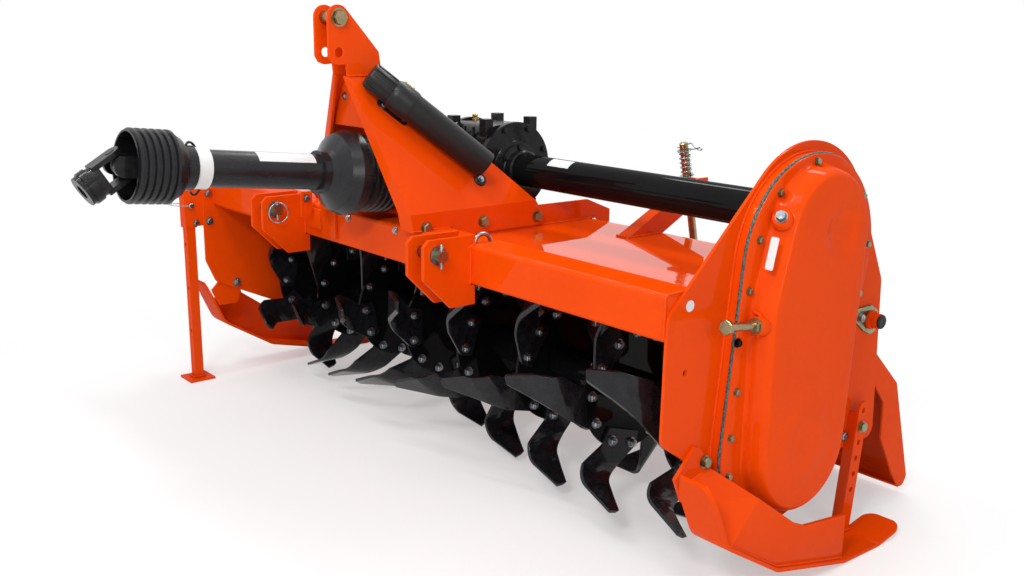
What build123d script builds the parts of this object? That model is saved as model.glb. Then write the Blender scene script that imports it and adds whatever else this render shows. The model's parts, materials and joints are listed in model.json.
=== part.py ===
from build123d import *
import os
from math import atan2, cos, degrees, hypot, radians, sin, tan

os.makedirs("parts", exist_ok=True)

# A tractor-mounted rotavator with a side gear drive.
# Working frame: X across the machine towards the gear-case side, Y rearwards from the
# front tube's front face, Z up from the floor. Everything is in millimetres. At the end
# the whole machine is moved so that its origin is the bottom centre of its box.

# ---- main frame ---------------------------------------------------------------------
working_width = 2116.8      # between the end plates' inner faces
plate_t = 8.0               # end plates
tube_size = 102.0           # square front tube
tube_wall = 8.0
tube_corner_r = 11.0
tube_bottom = 625.0         # height of the tube's underside
deck_t = 6.0
deck_drop = 30.0            # deck's front edge below the tube's top
hitch_x = -38.0             # centre line of hitch, mast and gearbox
right_in = working_width / 2
right_out = right_in + plate_t
left_in = -working_width / 2
left_out = left_in - plate_t
tube_top = tube_bottom + tube_size
tube_mid_z = tube_bottom + tube_size / 2
deck_top = tube_top - deck_drop

# ---- three-point hitch --------------------------------------------------------------
lower_spread = 825.0        # centre to centre of the lower clevises
clevis_gap = 55.5
clevis_t = 12.0
lower_pin_r = 14.3
lower_pin_y = -101.0
lower_pin_z = 712.0
pin_reach = 24.0            # pin beyond the clevis's outer faces
head_gap = 60.0             # between the top hitch plates
head_t = 8.0
top_pin_r = 12.7
top_pin_y = -112.0
top_pin_z = 1269.0          # upper hole, holding bolt and bushing
top_hole_drop = 89.0        # free lower hole below the upper one
top_hole_r = 12.85
pin_clearance = 0.15

# ---- mast ---------------------------------------------------------------------------
mast_t = 8.0
mast_top_z = 1120.0
mast_bend_z = 773.0
mast_half_top = head_gap / 2 + head_t
mast_half_base = 238.0
mast_foot_z = deck_top + 5.0
beam_t = 8.0
beam_top_z = tube_top + 31.0
beam_rear_y = 705.0
beam_chamfer = 36.0

# ---- gearbox and cross drive --------------------------------------------------------
gearbox_y = 428.0
gearbox_z = 855.0
gearbox_half_x = 96.0
gearbox_half_y = 100.0
gearbox_cover_r = 128.0
gearbox_cover_t = 16.0
gearbox_post_top = 993.0
gearbox_post = 28.0
gearbox_foot_z = deck_top + 19.0
saddle_t = 12.0
saddle_half_y = 110.0
gearbox_post_x = 77.0
gearbox_post_y = 83.5
nose_r = 56.0
nose_front_y = 120.0
cross_tube_r = 46.0
cross_tube_wall = 8.0
cross_flange_r = 70.0
cross_flange_t = 14.0

# ---- side gear case -----------------------------------------------------------------
case_depth = 24.0           # welded case, from the end plate to the gasket
gasket_t = 2.0
cover_flange_t = 7.0
cover_depth = 54.0
cover_rim = 30.0            # flange width outside the dome
cover_wall = 6.0
case_wall = 14.0
dish_r = 62.0
dish_h = 5.0
adjuster_offset = 24.6      # adjuster's axis beyond the cover's flange
adjuster_z = 640.0
adjuster_root_y = 221.0
adjuster_len = 110.0

# ---- rotor --------------------------------------------------------------------------
rotor_y = 375.0
rotor_z = 335.0
shaft_r = 50.0
shaft_wall = 10.0
rotor_flange_r = 168.0
rotor_flange_t = 10.0
flange_count = 8
first_flange_gap = 70.4     # from the left end plate's inner face
last_flange_gap = 170.4     # to the right end plate's inner face
flange_first_x = left_in + first_flange_gap
flange_pitch = (working_width - first_flange_gap - last_flange_gap) / (flange_count - 1)
tines_per_flange = 6
last_flange_phase = -2.5    # degrees
phase_step = 15.0           # each flange is turned by this from the next one
tine_t = 9.0
tine_bend_r = 60.0
tine_bend_angle = 68.0
tine_root_r = 112.0
tine_shank = 92.0
tine_wing = 104.0
stub_r = 32.0
bearing_r = 70.0
bearing_len = 26.0
running_gap = 0.3

# ---- tailgate -----------------------------------------------------------------------
pivot_y = 745.0
pivot_z = 556.0
pivot_r = 19.0
pivot_reach = 34.0          # pivot tube beyond the end plates
tailgate_t = 5.0
tailgate_side_gap = 9.0     # to the end plates' inner faces
rod_x = 440.0               # right spring rod; the left one is its mirror about the hitch
rod_lug_y = 850.0
rod_lug_z = 470.0
guide_y = 767.0
guide_z = 828.0
rod_r = 12.5
rod_top_z = 938.0

# ---- skids and parking stand --------------------------------------------------------
runner_outer = 118.6        # runner's outer edge beyond the end plate's outer face
runner_w = 100.0
runner_t = 9.0
skid_plate_t = 9.0
strap_w = 42.0
strap_t = 8.0
left_skid_shift = -60.0
stand_leg_w = 32.0
stand_x = left_out - 20.4
stand_y = -86.0
stand_gap = 0.5
stand_wall = 4.5
bracket_low = 555.0
bracket_high = 697.0
stand_top = 722.0
stand_foot = 92.0
stand_foot_t = 8.0

# ---- driveline ----------------------------------------------------------------------
drive_rise = 0.104          # rise of the driveline per length towards the tractor
rear_joint_y = 30.0
rear_joint_z = 849.6
front_joint_s = 723.9       # distance between the two universal joints
guard_r = 47.0
guard_wall = 4.0
rear_bell_r = 115.0
drive_shaft_r = 24.0
shaft_clearance = 0.08
yoke_droop = 38.0           # degrees the tractor yoke hangs below the shaft's line
yoke_hub_r = 38.0
hub_start = 52.0            # hub behind the joint's centre
yoke_bore_r = 17.6
yoke_len = 104.0
cross_pin_r = 11.0
cross_pin_half = 40.0


# ---- helpers ------------------------------------------------------------------------
def side_plate(points, x0, thickness):
    """Plate whose outline is given as (y, z) points, from x0 towards +X."""
    face = make_face(Polyline(*points, close=True))
    return extrude(Plane.YZ.offset(x0) * face, thickness)


def hull_face(circles, x, inset=0.0):
    """Flat face round a convex row of (y, z, radius) corner circles."""
    edges = ShapeList([edge for y, z, r in circles for edge in (Pos(y, z) * Circle(r - inset)).edges()])
    return Plane.YZ.offset(x) * make_hull(edges)


def hull_plate(circles, x0, thickness, inset=0.0):
    """Plate round a convex row of (y, z, radius) corner circles."""
    return extrude(hull_face(circles, x0, inset), thickness)


def bar_x(y, z, radius, x0, x1):
    """Round bar along X."""
    bar = Cylinder(radius, x1 - x0, align=(Align.CENTER, Align.CENTER, Align.MIN))
    return Plane.YZ.offset(x0) * Pos(y, z) * bar


def ring_x(y, z, outer, inner, x0, x1):
    """Round ring along X."""
    return bar_x(y, z, outer, x0, x1) - bar_x(y, z, inner, x0 - 1, x1 + 1)


def box_between(x0, x1, y0, y1, z0, z1):
    """Box between its faces."""
    return Pos(x0, y0, z0) * Box(x1 - x0, y1 - y0, z1 - z0, align=(Align.MIN, Align.MIN, Align.MIN))


def mitred(points, offset):
    """Open line moved sideways by offset, to the left of its direction."""
    moved = []
    for i, here in enumerate(points):
        normals = []
        for a, b in zip(points[max(i - 1, 0):i + 1], points[max(i - 1, 0) + 1:i + 2]):
            length = hypot(b[0] - a[0], b[1] - a[1])
            normals.append((-(b[1] - a[1]) / length, (b[0] - a[0]) / length))
        ny = sum(n[0] for n in normals)
        nz = sum(n[1] for n in normals)
        scale = offset * len(normals) / (ny * ny + nz * nz)
        moved.append((here[0] + ny * scale, here[1] + nz * scale))
    return moved


def bent_sheet(points, bend_r, thickness, x0, width):
    """Sheet of even thickness along an open (y, z) line, with rounded bends."""
    left = mitred(points, thickness / 2)
    right = mitred(points, -thickness / 2)
    left_r = []
    right_r = []
    for (ay, az), (by, bz), (cy, cz) in zip(points, points[1:], points[2:]):
        turn = (by - ay) * (cz - bz) - (bz - az) * (cy - by)
        inner = thickness / 2 if turn > 0 else -thickness / 2
        left_r.append(bend_r - inner)
        right_r.append(bend_r + inner)
    edges = ShapeList(FilletPolyline(*left, radius=left_r).edges())
    edges += FilletPolyline(*right, radius=right_r).edges()
    edges += [Edge.make_line(left[0], right[0]), Edge.make_line(left[-1], right[-1])]
    return extrude(Plane.YZ.offset(x0) * make_face(edges), width)


def slab(points, along):
    """Flat polygon in space, given a thickness along a vector; split into triangles."""
    body = None
    for i in range(1, len(points) - 1):
        corners = [Vector(*points[k]) for k in (0, i, i + 1)]
        wedge = Solid.extrude(Face(Wire.make_polygon(corners, close=True)), Vector(*along))
        body = wedge if body is None else body + wedge
    return body


def turned(origin, axis, profile):
    """Solid of revolution from (radius, distance) points, about an axis from origin."""
    face = Plane.XZ * make_face(Polyline(*profile, close=True))
    return Plane(origin=origin, z_dir=axis) * revolve(face, Axis.Z)


nodes = {}

# ---- front tube and deck ------------------------------------------------------------
tube_hollow = tube_size - 2 * tube_wall
tube_section = RectangleRounded(tube_size, tube_size, tube_corner_r) - Rectangle(tube_hollow, tube_hollow)
nodes["front_tube"] = extrude(
    Plane.YZ.offset(left_in) * Pos(tube_size / 2, tube_mid_z) * tube_section, working_width
)
deck_line = [
    (tube_size, deck_top - deck_t / 2),
    (648.0, deck_top - deck_t / 2),
    (pivot_y - 16.0, pivot_z + 26.0),
]
nodes["deck"] = bent_sheet(deck_line, 60.0, deck_t, left_in, working_width)

# ---- end plates ---------------------------------------------------------------------
# corner circles of each plate: y, z, radius
right_plate_corners = [
    (450.0, 772.0, 243.0),
    (28.0, 668.0, 28.0),
    (28.0, 420.0, 30.0),
    (262.0, 256.0, 26.0),
    (785.0, 260.0, 30.0),
    (746.0, 640.0, 44.0),
]
left_plate_corners = [
    (-18.0, 675.0, 25.0),
    (-13.0, 440.0, 30.0),
    (12.0, 372.0, 26.0),
    (262.0, 256.0, 26.0),
    (785.0, 260.0, 30.0),
    (746.0, 600.0, 44.0),
    (640.0, 672.0, 28.0),
]
# corner circles of the gear case's flange: y, z, radius
case_corners = [
    (436.0, 754.0, 236.0),
    (365.0, 345.0, 206.0),
]


def make_end_plate(corners, x0):
    plate = hull_plate(corners, x0, plate_t)
    return plate - bar_x(pivot_y, pivot_z, pivot_r + running_gap, x0 - 1, x0 + plate_t + 1)


right_plate = make_end_plate(right_plate_corners, right_in) + hull_plate(case_corners, right_in, plate_t, 4.0)
right_plate -= bar_x(61.0, 553.0, 7.0, right_in - 1, right_out + 1)
nodes["end_plate_right"] = right_plate
nodes["end_plate_left"] = make_end_plate(left_plate_corners, left_out)

# ---- lower hitch clevises and pins --------------------------------------------------
clevis_outline = [
    (13.5, 751.0),
    (-126.0, 751.0),
    (-142.0, 736.0),
    (-142.0, 654.0),
    (-61.0, 574.0),
    (13.5, 574.0),
]


def make_clevis(centre_x):
    plates = []
    for x0 in (centre_x - clevis_gap / 2 - clevis_t, centre_x + clevis_gap / 2):
        plate = side_plate(clevis_outline, x0, clevis_t)
        plate -= bar_x(lower_pin_y, lower_pin_z, lower_pin_r + pin_clearance, x0 - 1, x0 + clevis_t + 1)
        plate -= box_between(x0 - 1, x0 + clevis_t + 1, 0.0, tube_size, tube_bottom, tube_top)
        plates += plate.solids()
    return plates


def make_lower_pin(centre_x):
    half = clevis_gap / 2 + clevis_t + pin_reach
    return bar_x(lower_pin_y, lower_pin_z, lower_pin_r, centre_x - half, centre_x + half)


for side, sign in (("right", 1), ("left", -1)):
    clevis_x = hitch_x + sign * lower_spread / 2
    nodes["hitch_clevis_" + side] = make_clevis(clevis_x)
    nodes["hitch_pin_" + side] = make_lower_pin(clevis_x)

# ---- top hitch ----------------------------------------------------------------------
top_hole_z = top_pin_z - top_hole_drop
head_outline = [
    (top_pin_y - 32.0, top_hole_z - 10.0),
    (top_pin_y - 22.0, top_hole_z - 26.0),
    (top_pin_y - 4.0, top_hole_z - 32.0),
    (top_pin_y + 20.0, top_hole_z - 30.0),
    (top_pin_y + 23.0, mast_top_z + 0.2),
    (15.0, mast_top_z + 0.2),
    (15.0, mast_top_z + 20.0),
    (9.0, top_hole_z + 2.0),
    (top_pin_y + 25.0, top_pin_z + 20.0),
    (top_pin_y - 32.0, top_pin_z),
]


def make_head_plate(x0):
    plate = side_plate(head_outline, x0, head_t) + bar_x(top_pin_y, top_pin_z, 32.0, x0, x0 + head_t)
    for hole_z in (top_pin_z, top_hole_z):
        plate -= bar_x(top_pin_y, hole_z, top_hole_r, x0 - 1, x0 + head_t + 1)
    return plate


nodes["hitch_head_right"] = make_head_plate(hitch_x + head_gap / 2)
nodes["hitch_head_left"] = make_head_plate(hitch_x - head_gap / 2 - head_t)
head_half = head_gap / 2 + head_t
top_bolt = bar_x(top_pin_y, top_pin_z, top_pin_r, hitch_x - head_half - 24.0, hitch_x + head_half)
top_bolt += bar_x(top_pin_y, top_pin_z, 18.0, hitch_x - head_gap / 2 + 0.5, hitch_x + head_gap / 2 - 0.5)
top_bolt += extrude(
    Plane.YZ.offset(hitch_x + head_half) * Pos(top_pin_y, top_pin_z) * RegularPolygon(19.0, 6), 15.0
)
nodes["top_hitch_bolt"] = top_bolt

# ---- mast plates --------------------------------------------------------------------
# outline of the flared plate: y, z; it leans outwards from its top to its bend
mast_outline = [
    (-90.0, mast_top_z),
    (16.0, mast_top_z),
    (106.0, 1059.0),
    (399.0, mast_bend_z),
    (-32.0, mast_bend_z),
]
mast_foot_outline = [
    (-32.0, mast_bend_z),
    (399.0, mast_bend_z),
    (430.0, mast_foot_z + 28.0),
    (430.0, mast_foot_z),
    (tube_size + 1.0, mast_foot_z),
    (tube_size + 1.0, tube_top + 0.4),
    (-2.0, tube_top + 0.4),
    (-24.0, tube_top - 4.0),
]
lip_top_w = 20.0
lip_base_w = 50.0


def mast_x(z, sign):
    """Outer face of the flared mast plate at a height."""
    share = (mast_top_z - z) / (mast_top_z - mast_bend_z)
    return hitch_x + sign * (mast_half_top + share * (mast_half_base - mast_half_top))


def make_mast_plate(sign):
    flared = slab([(mast_x(z, sign), y, z) for y, z in mast_outline], (-sign * mast_t, 0, 0))
    foot_x = hitch_x + sign * mast_half_base - (mast_t if sign > 0 else 0)
    foot = side_plate(mast_foot_outline, foot_x, mast_t)
    (y_top, z_top), (y_base, z_base) = mast_outline[0], mast_outline[-1]
    lip = slab(
        [
            (mast_x(z_top, sign), y_top, z_top),
            (mast_x(z_top, sign) - sign * lip_top_w, y_top - 3.0, z_top),
            (mast_x(z_base, sign) - sign * lip_base_w, y_base - 6.0, z_base),
            (mast_x(z_base, sign), y_base, z_base),
        ],
        (0, mast_t, 0),
    )
    lip_foot = slab(
        [
            (mast_x(z_base, sign), -32.0, z_base),
            (mast_x(z_base, sign) - sign * lip_base_w, -38.0, z_base),
            (mast_x(z_base, sign) - sign * lip_base_w, -30.0, tube_top + 2.0),
            (mast_x(z_base, sign), -24.0, tube_top - 4.0),
        ],
        (0, mast_t, 0),
    )
    return flared + foot + lip + lip_foot


nodes["mast_plate_right"] = make_mast_plate(1)
nodes["mast_plate_left"] = make_mast_plate(-1)
cross_low_z = mast_top_z - 135.0
cross_top_z = mast_top_z - 20.0
cross_outline = [
    (mast_x(cross_low_z, -1) + mast_t + 0.5, cross_low_z),
    (mast_x(cross_low_z, 1) - mast_t - 0.5, cross_low_z),
    (mast_x(cross_top_z, 1) - mast_t - 0.5, cross_top_z),
    (mast_x(cross_top_z, -1) + mast_t + 0.5, cross_top_z),
]
nodes["mast_cross_plate"] = extrude(Plane.XZ.offset(56.0) * make_face(Polyline(*cross_outline, close=True)), -8.0)

beam_outline = [
    (tube_size + 1.0, deck_top + 0.4),
    (tube_size + 1.0, beam_top_z),
    (beam_rear_y - 93.0, beam_top_z - 3.0),
    (beam_rear_y, beam_top_z - 4.0 - beam_chamfer),
    (beam_rear_y, 656.0),
    (646.0, deck_top + 0.4),
]
beam_half = mast_half_base - mast_t
nodes["beam_right"] = side_plate(beam_outline, hitch_x + beam_half - beam_t - 0.2, beam_t)
nodes["beam_left"] = side_plate(beam_outline, hitch_x - beam_half + 0.2, beam_t)


# ---- gearbox ------------------------------------------------------------------------
def make_gearbox():
    body = Pos(hitch_x, gearbox_y, gearbox_z + 2) * Box(2 * gearbox_half_x, 2 * gearbox_half_y, 236.0)
    body = fillet(body.edges().filter_by(Axis.X), 48.0)
    nose = Cylinder(nose_r, gearbox_y - nose_front_y, align=(Align.CENTER, Align.CENTER, Align.MIN))
    body += Plane(origin=(hitch_x, gearbox_y, rear_joint_z), z_dir=(0, -1, 0)) * nose
    stub = Cylinder(24.0, gearbox_y - 70.0, align=(Align.CENTER, Align.CENTER, Align.MIN))
    body += Plane(origin=(hitch_x, gearbox_y, rear_joint_z), z_dir=(0, -1, 0)) * stub
    for sx in (1, -1):
        for sy in (1, -1):
            x = hitch_x + sx * gearbox_post_x
            y = gearbox_y + sy * gearbox_post_y
            half = gearbox_post / 2
            body += box_between(x - half, x + half, y - half, y + half, beam_top_z - 20.0, gearbox_post_top)
    body += box_between(
        hitch_x - gearbox_half_x,
        hitch_x + gearbox_half_x,
        gearbox_y - gearbox_half_y + 4.0,
        gearbox_y + gearbox_half_y - 4.0,
        gearbox_foot_z,
        gearbox_foot_z + 34.0,
    )
    return body


nodes["gearbox"] = make_gearbox()
saddle_half = beam_half - beam_t - 0.5
nodes["gearbox_saddle"] = box_between(
    hitch_x - saddle_half,
    hitch_x + saddle_half,
    gearbox_y - saddle_half_y,
    gearbox_y + saddle_half_y,
    gearbox_foot_z - saddle_t,
    gearbox_foot_z - 0.2,
)
cover_x = hitch_x + gearbox_half_x + 0.2
nodes["gearbox_cover_right"] = bar_x(gearbox_y, gearbox_z, gearbox_cover_r, cover_x, cover_x + gearbox_cover_t)
left_cover_x = hitch_x - gearbox_half_x - 0.2
nodes["gearbox_cover_left"] = bar_x(
    gearbox_y, gearbox_z, gearbox_cover_r, left_cover_x - gearbox_cover_t, left_cover_x
) + bar_x(gearbox_y, gearbox_z, 64.0, left_cover_x - gearbox_cover_t - 18.0, left_cover_x)
flange_x = cover_x + gearbox_cover_t + 0.2
cross_z = 848.0
cross_tube = bar_x(gearbox_y, cross_z, cross_tube_r, flange_x, right_in - 0.2)
cross_tube += bar_x(gearbox_y, cross_z, cross_flange_r, flange_x, flange_x + cross_flange_t)
cross_tube += bar_x(gearbox_y, cross_z, cross_tube_r + 10.0, flange_x, flange_x + cross_flange_t + 26.0)
cross_tube += bar_x(gearbox_y, cross_z, cross_flange_r, right_in - 14.2, right_in - 0.2)
cross_tube -= bar_x(gearbox_y, cross_z, cross_tube_r - cross_tube_wall, flange_x - 1, right_in + 1)
nodes["cross_tube"] = cross_tube

# ---- side gear case -----------------------------------------------------------------
gasket_x = right_out + case_depth
flange_face_x = gasket_x + gasket_t + cover_flange_t
nodes["gear_case"] = hull_plate(case_corners, right_out + 0.1, case_depth - 0.1) - hull_plate(
    case_corners, right_out - 1, case_depth + 2, case_wall
)
nodes["gear_case_gasket"] = hull_plate(case_corners, gasket_x + 0.1, gasket_t - 0.2, -1.5) - hull_plate(
    case_corners, gasket_x - 1, gasket_t + 2, case_wall
)


def make_cover():
    """Pressed cover: flat rim and drafted dome, with a boss over the rotor's bearing."""
    rim = hull_plate(case_corners, gasket_x + gasket_t, cover_flange_t)
    # depth from the flange's face and inset from the case's outline
    steps = [(-2.0, 30.0), (32.0, 35.0), (43.0, 39.0), (50.0, 46.0), (53.5, 54.0), (cover_depth, 62.0)]
    dome = loft([hull_face(case_corners, flange_face_x + d, inset) for d, inset in steps], ruled=True)
    hollow = loft(
        [hull_face(case_corners, flange_face_x + d, inset) for d, inset in ((-9.0, 36.0), (32.0, 42.0), (46.0, 60.0))],
        ruled=True,
    )
    crown_x = flange_face_x + cover_depth
    upper_dish = Cone(dish_r, dish_r - 12.0, dish_h + 4.0, align=(Align.CENTER, Align.CENTER, Align.MIN))
    body = rim + dome - hollow
    body += Plane.YZ.offset(crown_x - 4.0) * Pos(rotor_y, rotor_z) * upper_dish
    cut = Cone(dish_r, dish_r + 8.0, 4.0, align=(Align.CENTER, Align.CENTER, Align.MIN))
    return body - Plane.YZ.offset(crown_x - 3.0) * Pos(472.0, 800.0) * cut


nodes["gear_case_cover"] = make_cover()
adjuster_x = flange_face_x + adjuster_offset
adjuster = Plane(origin=(adjuster_x, adjuster_root_y, adjuster_z), z_dir=(0, -1, 0)) * Cylinder(
    10.0, adjuster_len, align=(Align.CENTER, Align.CENTER, Align.MIN)
)
for y, thickness in ((adjuster_root_y - adjuster_len, 14.0), (adjuster_root_y - 9.0, 9.0)):
    hexagon = extrude(RegularPolygon(17.5, 6), thickness)
    adjuster += Plane(origin=(adjuster_x, y, adjuster_z), z_dir=(0, -1, 0)) * hexagon
nodes["chain_adjuster_bolt"] = adjuster - nodes["gear_case_cover"]


# ---- rotor --------------------------------------------------------------------------
def make_rotor_shaft():
    inner = bearing_len + 8.0
    tube = ring_x(rotor_y, rotor_z, shaft_r, shaft_r - shaft_wall, left_in + inner, right_in - inner)
    for x0, x1, end_x in (
        (left_in + 3.0, left_in + inner + 14.0, left_in + inner),
        (right_in - inner - 14.0, right_in - 3.0, right_in - inner - 14.0),
    ):
        tube += bar_x(rotor_y, rotor_z, stub_r, x0, x1)
        tube += bar_x(rotor_y, rotor_z, shaft_r - 1.0, end_x, end_x + 14.0)
    for i in range(flange_count):
        x = flange_first_x + i * flange_pitch
        tube += ring_x(
            rotor_y, rotor_z, rotor_flange_r, shaft_r - 1, x - rotor_flange_t / 2, x + rotor_flange_t / 2
        )
    return tube


nodes["rotor_shaft"] = make_rotor_shaft()
nodes["rotor_bearings"] = [
    ring_x(rotor_y, rotor_z, bearing_r, stub_r + running_gap, x0 + 0.2, x0 + bearing_len - 0.2)
    for x0 in (left_in, right_in - bearing_len)
]
# tine outline for a tine that points up: y, radius; it is swept back, towards +Y
tine_outline = [
    (-56.0, 112.0),
    (-62.0, 152.0),
    (-2.0, 218.0),
    (38.0, 250.0),
    (66.0, 270.0),
    (108.0, 303.0),
    (124.0, 303.0),
    (136.0, 262.0),
    (121.0, 215.0),
    (64.0, 160.0),
    (56.0, 112.0),
]


def make_tine():
    """One tine, pointing up, whose wing leans towards +X."""
    bend = radians(tine_bend_angle)
    centre = (tine_bend_r, tine_root_r + tine_shank)
    run = [(0.0, tine_root_r), (0.0, centre[1])]
    inner_r = tine_bend_r - tine_t

    def on_arc(radius, angle):
        return (centre[0] - radius * cos(angle), centre[1] + radius * sin(angle))

    outer_end = on_arc(tine_bend_r, bend)
    inner_end = on_arc(inner_r, bend)
    reach = (tine_wing * sin(bend), tine_wing * cos(bend))
    outer_tip = (outer_end[0] + reach[0], outer_end[1] + reach[1])
    inner_tip = (inner_end[0] + reach[0], inner_end[1] + reach[1])
    section = [
        Edge.make_line(run[0], run[1]),
        Edge.make_three_point_arc(run[1], on_arc(tine_bend_r, bend / 2), outer_end),
        Edge.make_line(outer_end, outer_tip),
        Edge.make_line(outer_tip, inner_tip),
        Edge.make_line(inner_tip, inner_end),
        Edge.make_three_point_arc(inner_end, on_arc(inner_r, bend / 2), (tine_t, centre[1])),
        Edge.make_line((tine_t, centre[1]), (tine_t, tine_root_r)),
        Edge.make_line((tine_t, tine_root_r), run[0]),
    ]
    bent = extrude(Plane.XZ.offset(-142.0) * make_face(section), 210.0)
    return (bent & side_plate(tine_outline, -5.0, 200.0)).solids()[0]


def make_tines():
    """Both hands of tine, placed round every flange."""
    blade = make_tine()
    mirrored = mirror(blade, Plane.YZ)
    hands = {True: [], False: []}
    spin_axis = Axis((0, rotor_y, rotor_z), (1, 0, 0))
    for i in range(flange_count):
        x = flange_first_x + i * flange_pitch
        phase = last_flange_phase + phase_step * (flange_count - 1 - i)
        for k in range(tines_per_flange):
            to_right = i == 0 or k % 2 == 0
            face_x = x + (rotor_flange_t / 2 if to_right else -rotor_flange_t / 2)
            placed = Pos(face_x, rotor_y, rotor_z) * (blade if to_right else mirrored)
            hands[to_right].append(placed.rotate(spin_axis, phase + k * 360.0 / tines_per_flange - 90.0))
    return hands


tines = make_tines()
nodes["tines_right_hand"] = tines[True]
nodes["tines_left_hand"] = tines[False]

# ---- tailgate -----------------------------------------------------------------------
tailgate_line = [
    (pivot_y + 14.0, pivot_z - 10.0),
    (803.0, 466.0),
    (944.0, 340.0),
    (1044.0, 48.0),
    (1030.0, 27.0),
    (1006.0, 27.0),
]
gusset_outline = [
    (803.0, 466.0),
    (944.0, 340.0),
    (1044.0, 48.0),
    (1030.0, 27.0),
    (1006.0, 27.0),
    (966.0, 78.0),
    (893.0, 197.0),
    (889.0, 299.0),
    (800.0, 400.0),
]
tailgate_x0 = left_in + tailgate_side_gap
tailgate_w = working_width - 2 * tailgate_side_gap


def make_tailgate():
    sheet = bent_sheet(tailgate_line, 12.0, tailgate_t, tailgate_x0, tailgate_w)
    for x0 in (tailgate_x0, tailgate_x0 + tailgate_w - 6.0):
        sheet += side_plate(gusset_outline, x0, 6.0)
    return sheet - bar_x(pivot_y, pivot_z, pivot_r + 0.05, left_in, right_in)


nodes["tailgate_sheet"] = make_tailgate()
nodes["tailgate_pivot_tube"] = bar_x(pivot_y, pivot_z, pivot_r, left_out - pivot_reach, right_out + pivot_reach)
rods = (("right", rod_x), ("left", 2 * hitch_x - rod_x))
lug_pin_r = 8.0
lug_eye_r = 18.0
lug_gap = 30.0
lug_t = 8.0
tailgate_cut = bent_sheet(tailgate_line, 12.0, tailgate_t + 0.4, left_in, working_width)
rod_lugs = []
for side, x in rods:
    for x0 in (x - lug_gap / 2 - lug_t, x + lug_gap / 2):
        lug = side_plate([(824.0, 452.0), (836.0, 484.0), (864.0, 482.0), (900.0, 384.0)], x0, lug_t)
        lug += bar_x(rod_lug_y, rod_lug_z, lug_eye_r, x0, x0 + lug_t)
        lug -= bar_x(rod_lug_y, rod_lug_z, lug_pin_r + pin_clearance, x0 - 1, x0 + lug_t + 1)
        rod_lugs.append(lug - tailgate_cut)
nodes["rod_lugs"] = rod_lugs

# ---- spring rods and their braces ---------------------------------------------------
rod_dir = Vector(0, guide_y - rod_lug_y, guide_z - rod_lug_z).normalized()


def along_rod(x, distance):
    """Point on a rod's axis, at a distance from its lug pin."""
    return Vector(x, rod_lug_y, rod_lug_z) + rod_dir * distance


guide_distance = hypot(guide_y - rod_lug_y, guide_z - rod_lug_z)
rod_len = (rod_top_z - rod_lug_z) / rod_dir.Z
guide_t = 8.0
spring_r = 19.0
spring_wire = 5.0
spring_turns = 5
spring_start = guide_distance + 16.0
spring_len = 72.0


def make_spring_rod(x):
    rod = Plane(origin=along_rod(x, 12.0), z_dir=rod_dir) * Cylinder(
        rod_r, rod_len - 12.0, align=(Align.CENTER, Align.CENTER, Align.MIN)
    )
    rod += bar_x(rod_lug_y, rod_lug_z, lug_eye_r, x - lug_gap / 2 + 1.0, x + lug_gap / 2 - 1.0)
    rod += bar_x(rod_lug_y, rod_lug_z, lug_pin_r, x - lug_gap / 2 - 12.0, x + lug_gap / 2 + 12.0)
    for start, length, radius in ((spring_start - 2.5, 2.5, 21.0), (spring_start + spring_len, 3.0, 21.0)):
        rod += Plane(origin=along_rod(x, start), z_dir=rod_dir) * Cylinder(
            radius, length, align=(Align.CENTER, Align.CENTER, Align.MIN)
        )
    return rod


def make_rod_spring(x):
    """Coil drawn as a stack of rings round the rod."""
    pitch = (spring_len - 2 * spring_wire) / (spring_turns - 1)
    coils = []
    for i in range(spring_turns):
        spot = along_rod(x, spring_start + spring_wire + i * pitch)
        coils.append(Plane(origin=spot, z_dir=rod_dir) * Torus(rod_r + spring_wire / 2 + 0.2, spring_wire / 2))
    return coils


brace_side_x = 36.0
brace_outline = [
    (487.0, deck_top + 0.4),
    (762.0, guide_z + guide_t / 2 + 6.0),
    (808.0, guide_z + guide_t / 2 + 6.0),
    (808.0, 790.0),
    (625.0, deck_top + 0.4),
]


def make_brace(x):
    side = side_plate(brace_outline, x + brace_side_x, 6.0)
    top_flange = slab(
        [
            (x + brace_side_x, 487.0, deck_top + 0.4),
            (x + brace_side_x, 745.0, guide_z - 4.0),
            (x + brace_side_x - 36.0, 745.0, guide_z - 4.0),
            (x + brace_side_x - 36.0, 487.0, deck_top + 0.4),
        ],
        (0, 3.0, -5.5),
    )
    guide = box_between(
        x - 32.0, x + brace_side_x + 1.0, 734.0, 806.0, guide_z - guide_t / 2, guide_z + guide_t / 2
    )
    slot = extrude(Pos(x, guide_y, guide_z - guide_t) * SlotOverall(56.0, 38.0, rotation=90), 2 * guide_t)
    under = box_between(x - 60.0, x + 60.0, 400.0, 700.0, deck_top - 60.0, deck_top + 0.3)
    return side + top_flange + guide - slot - under


for side, x in rods:
    nodes["spring_rod_" + side] = [make_spring_rod(x)] + make_rod_spring(x)
    nodes["rod_brace_" + side] = make_brace(x)

# ---- skids --------------------------------------------------------------------------
runner_line = [
    (21.0, 344.0),
    (90.0, 190.0),
    (275.0, 76.0),
    (545.0, 9.0),
    (694.0, runner_t / 2 + 0.05),
    (802.0, 24.0),
]
runner_x0 = right_out + runner_outer - runner_w
skid_facet_x = right_out + runner_outer - skid_plate_t - 9.0


def below_runner():
    """Everything under the runner's top face."""
    top = mitred(runner_line, runner_t / 2 + 0.2)
    return side_plate(top + [(830.0, -60.0), (-60.0, -60.0), (-60.0, 360.0)], right_in, 200.0)


def make_runner(margin=0.0):
    runner = bent_sheet(runner_line, 60.0, runner_t + 2 * margin, runner_x0, runner_w)
    plan = Pos(runner_x0 + runner_w / 2, 410.0) * RectangleRounded(runner_w, 784.0, 34.0)
    return runner & extrude(plan, 420.0)


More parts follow.
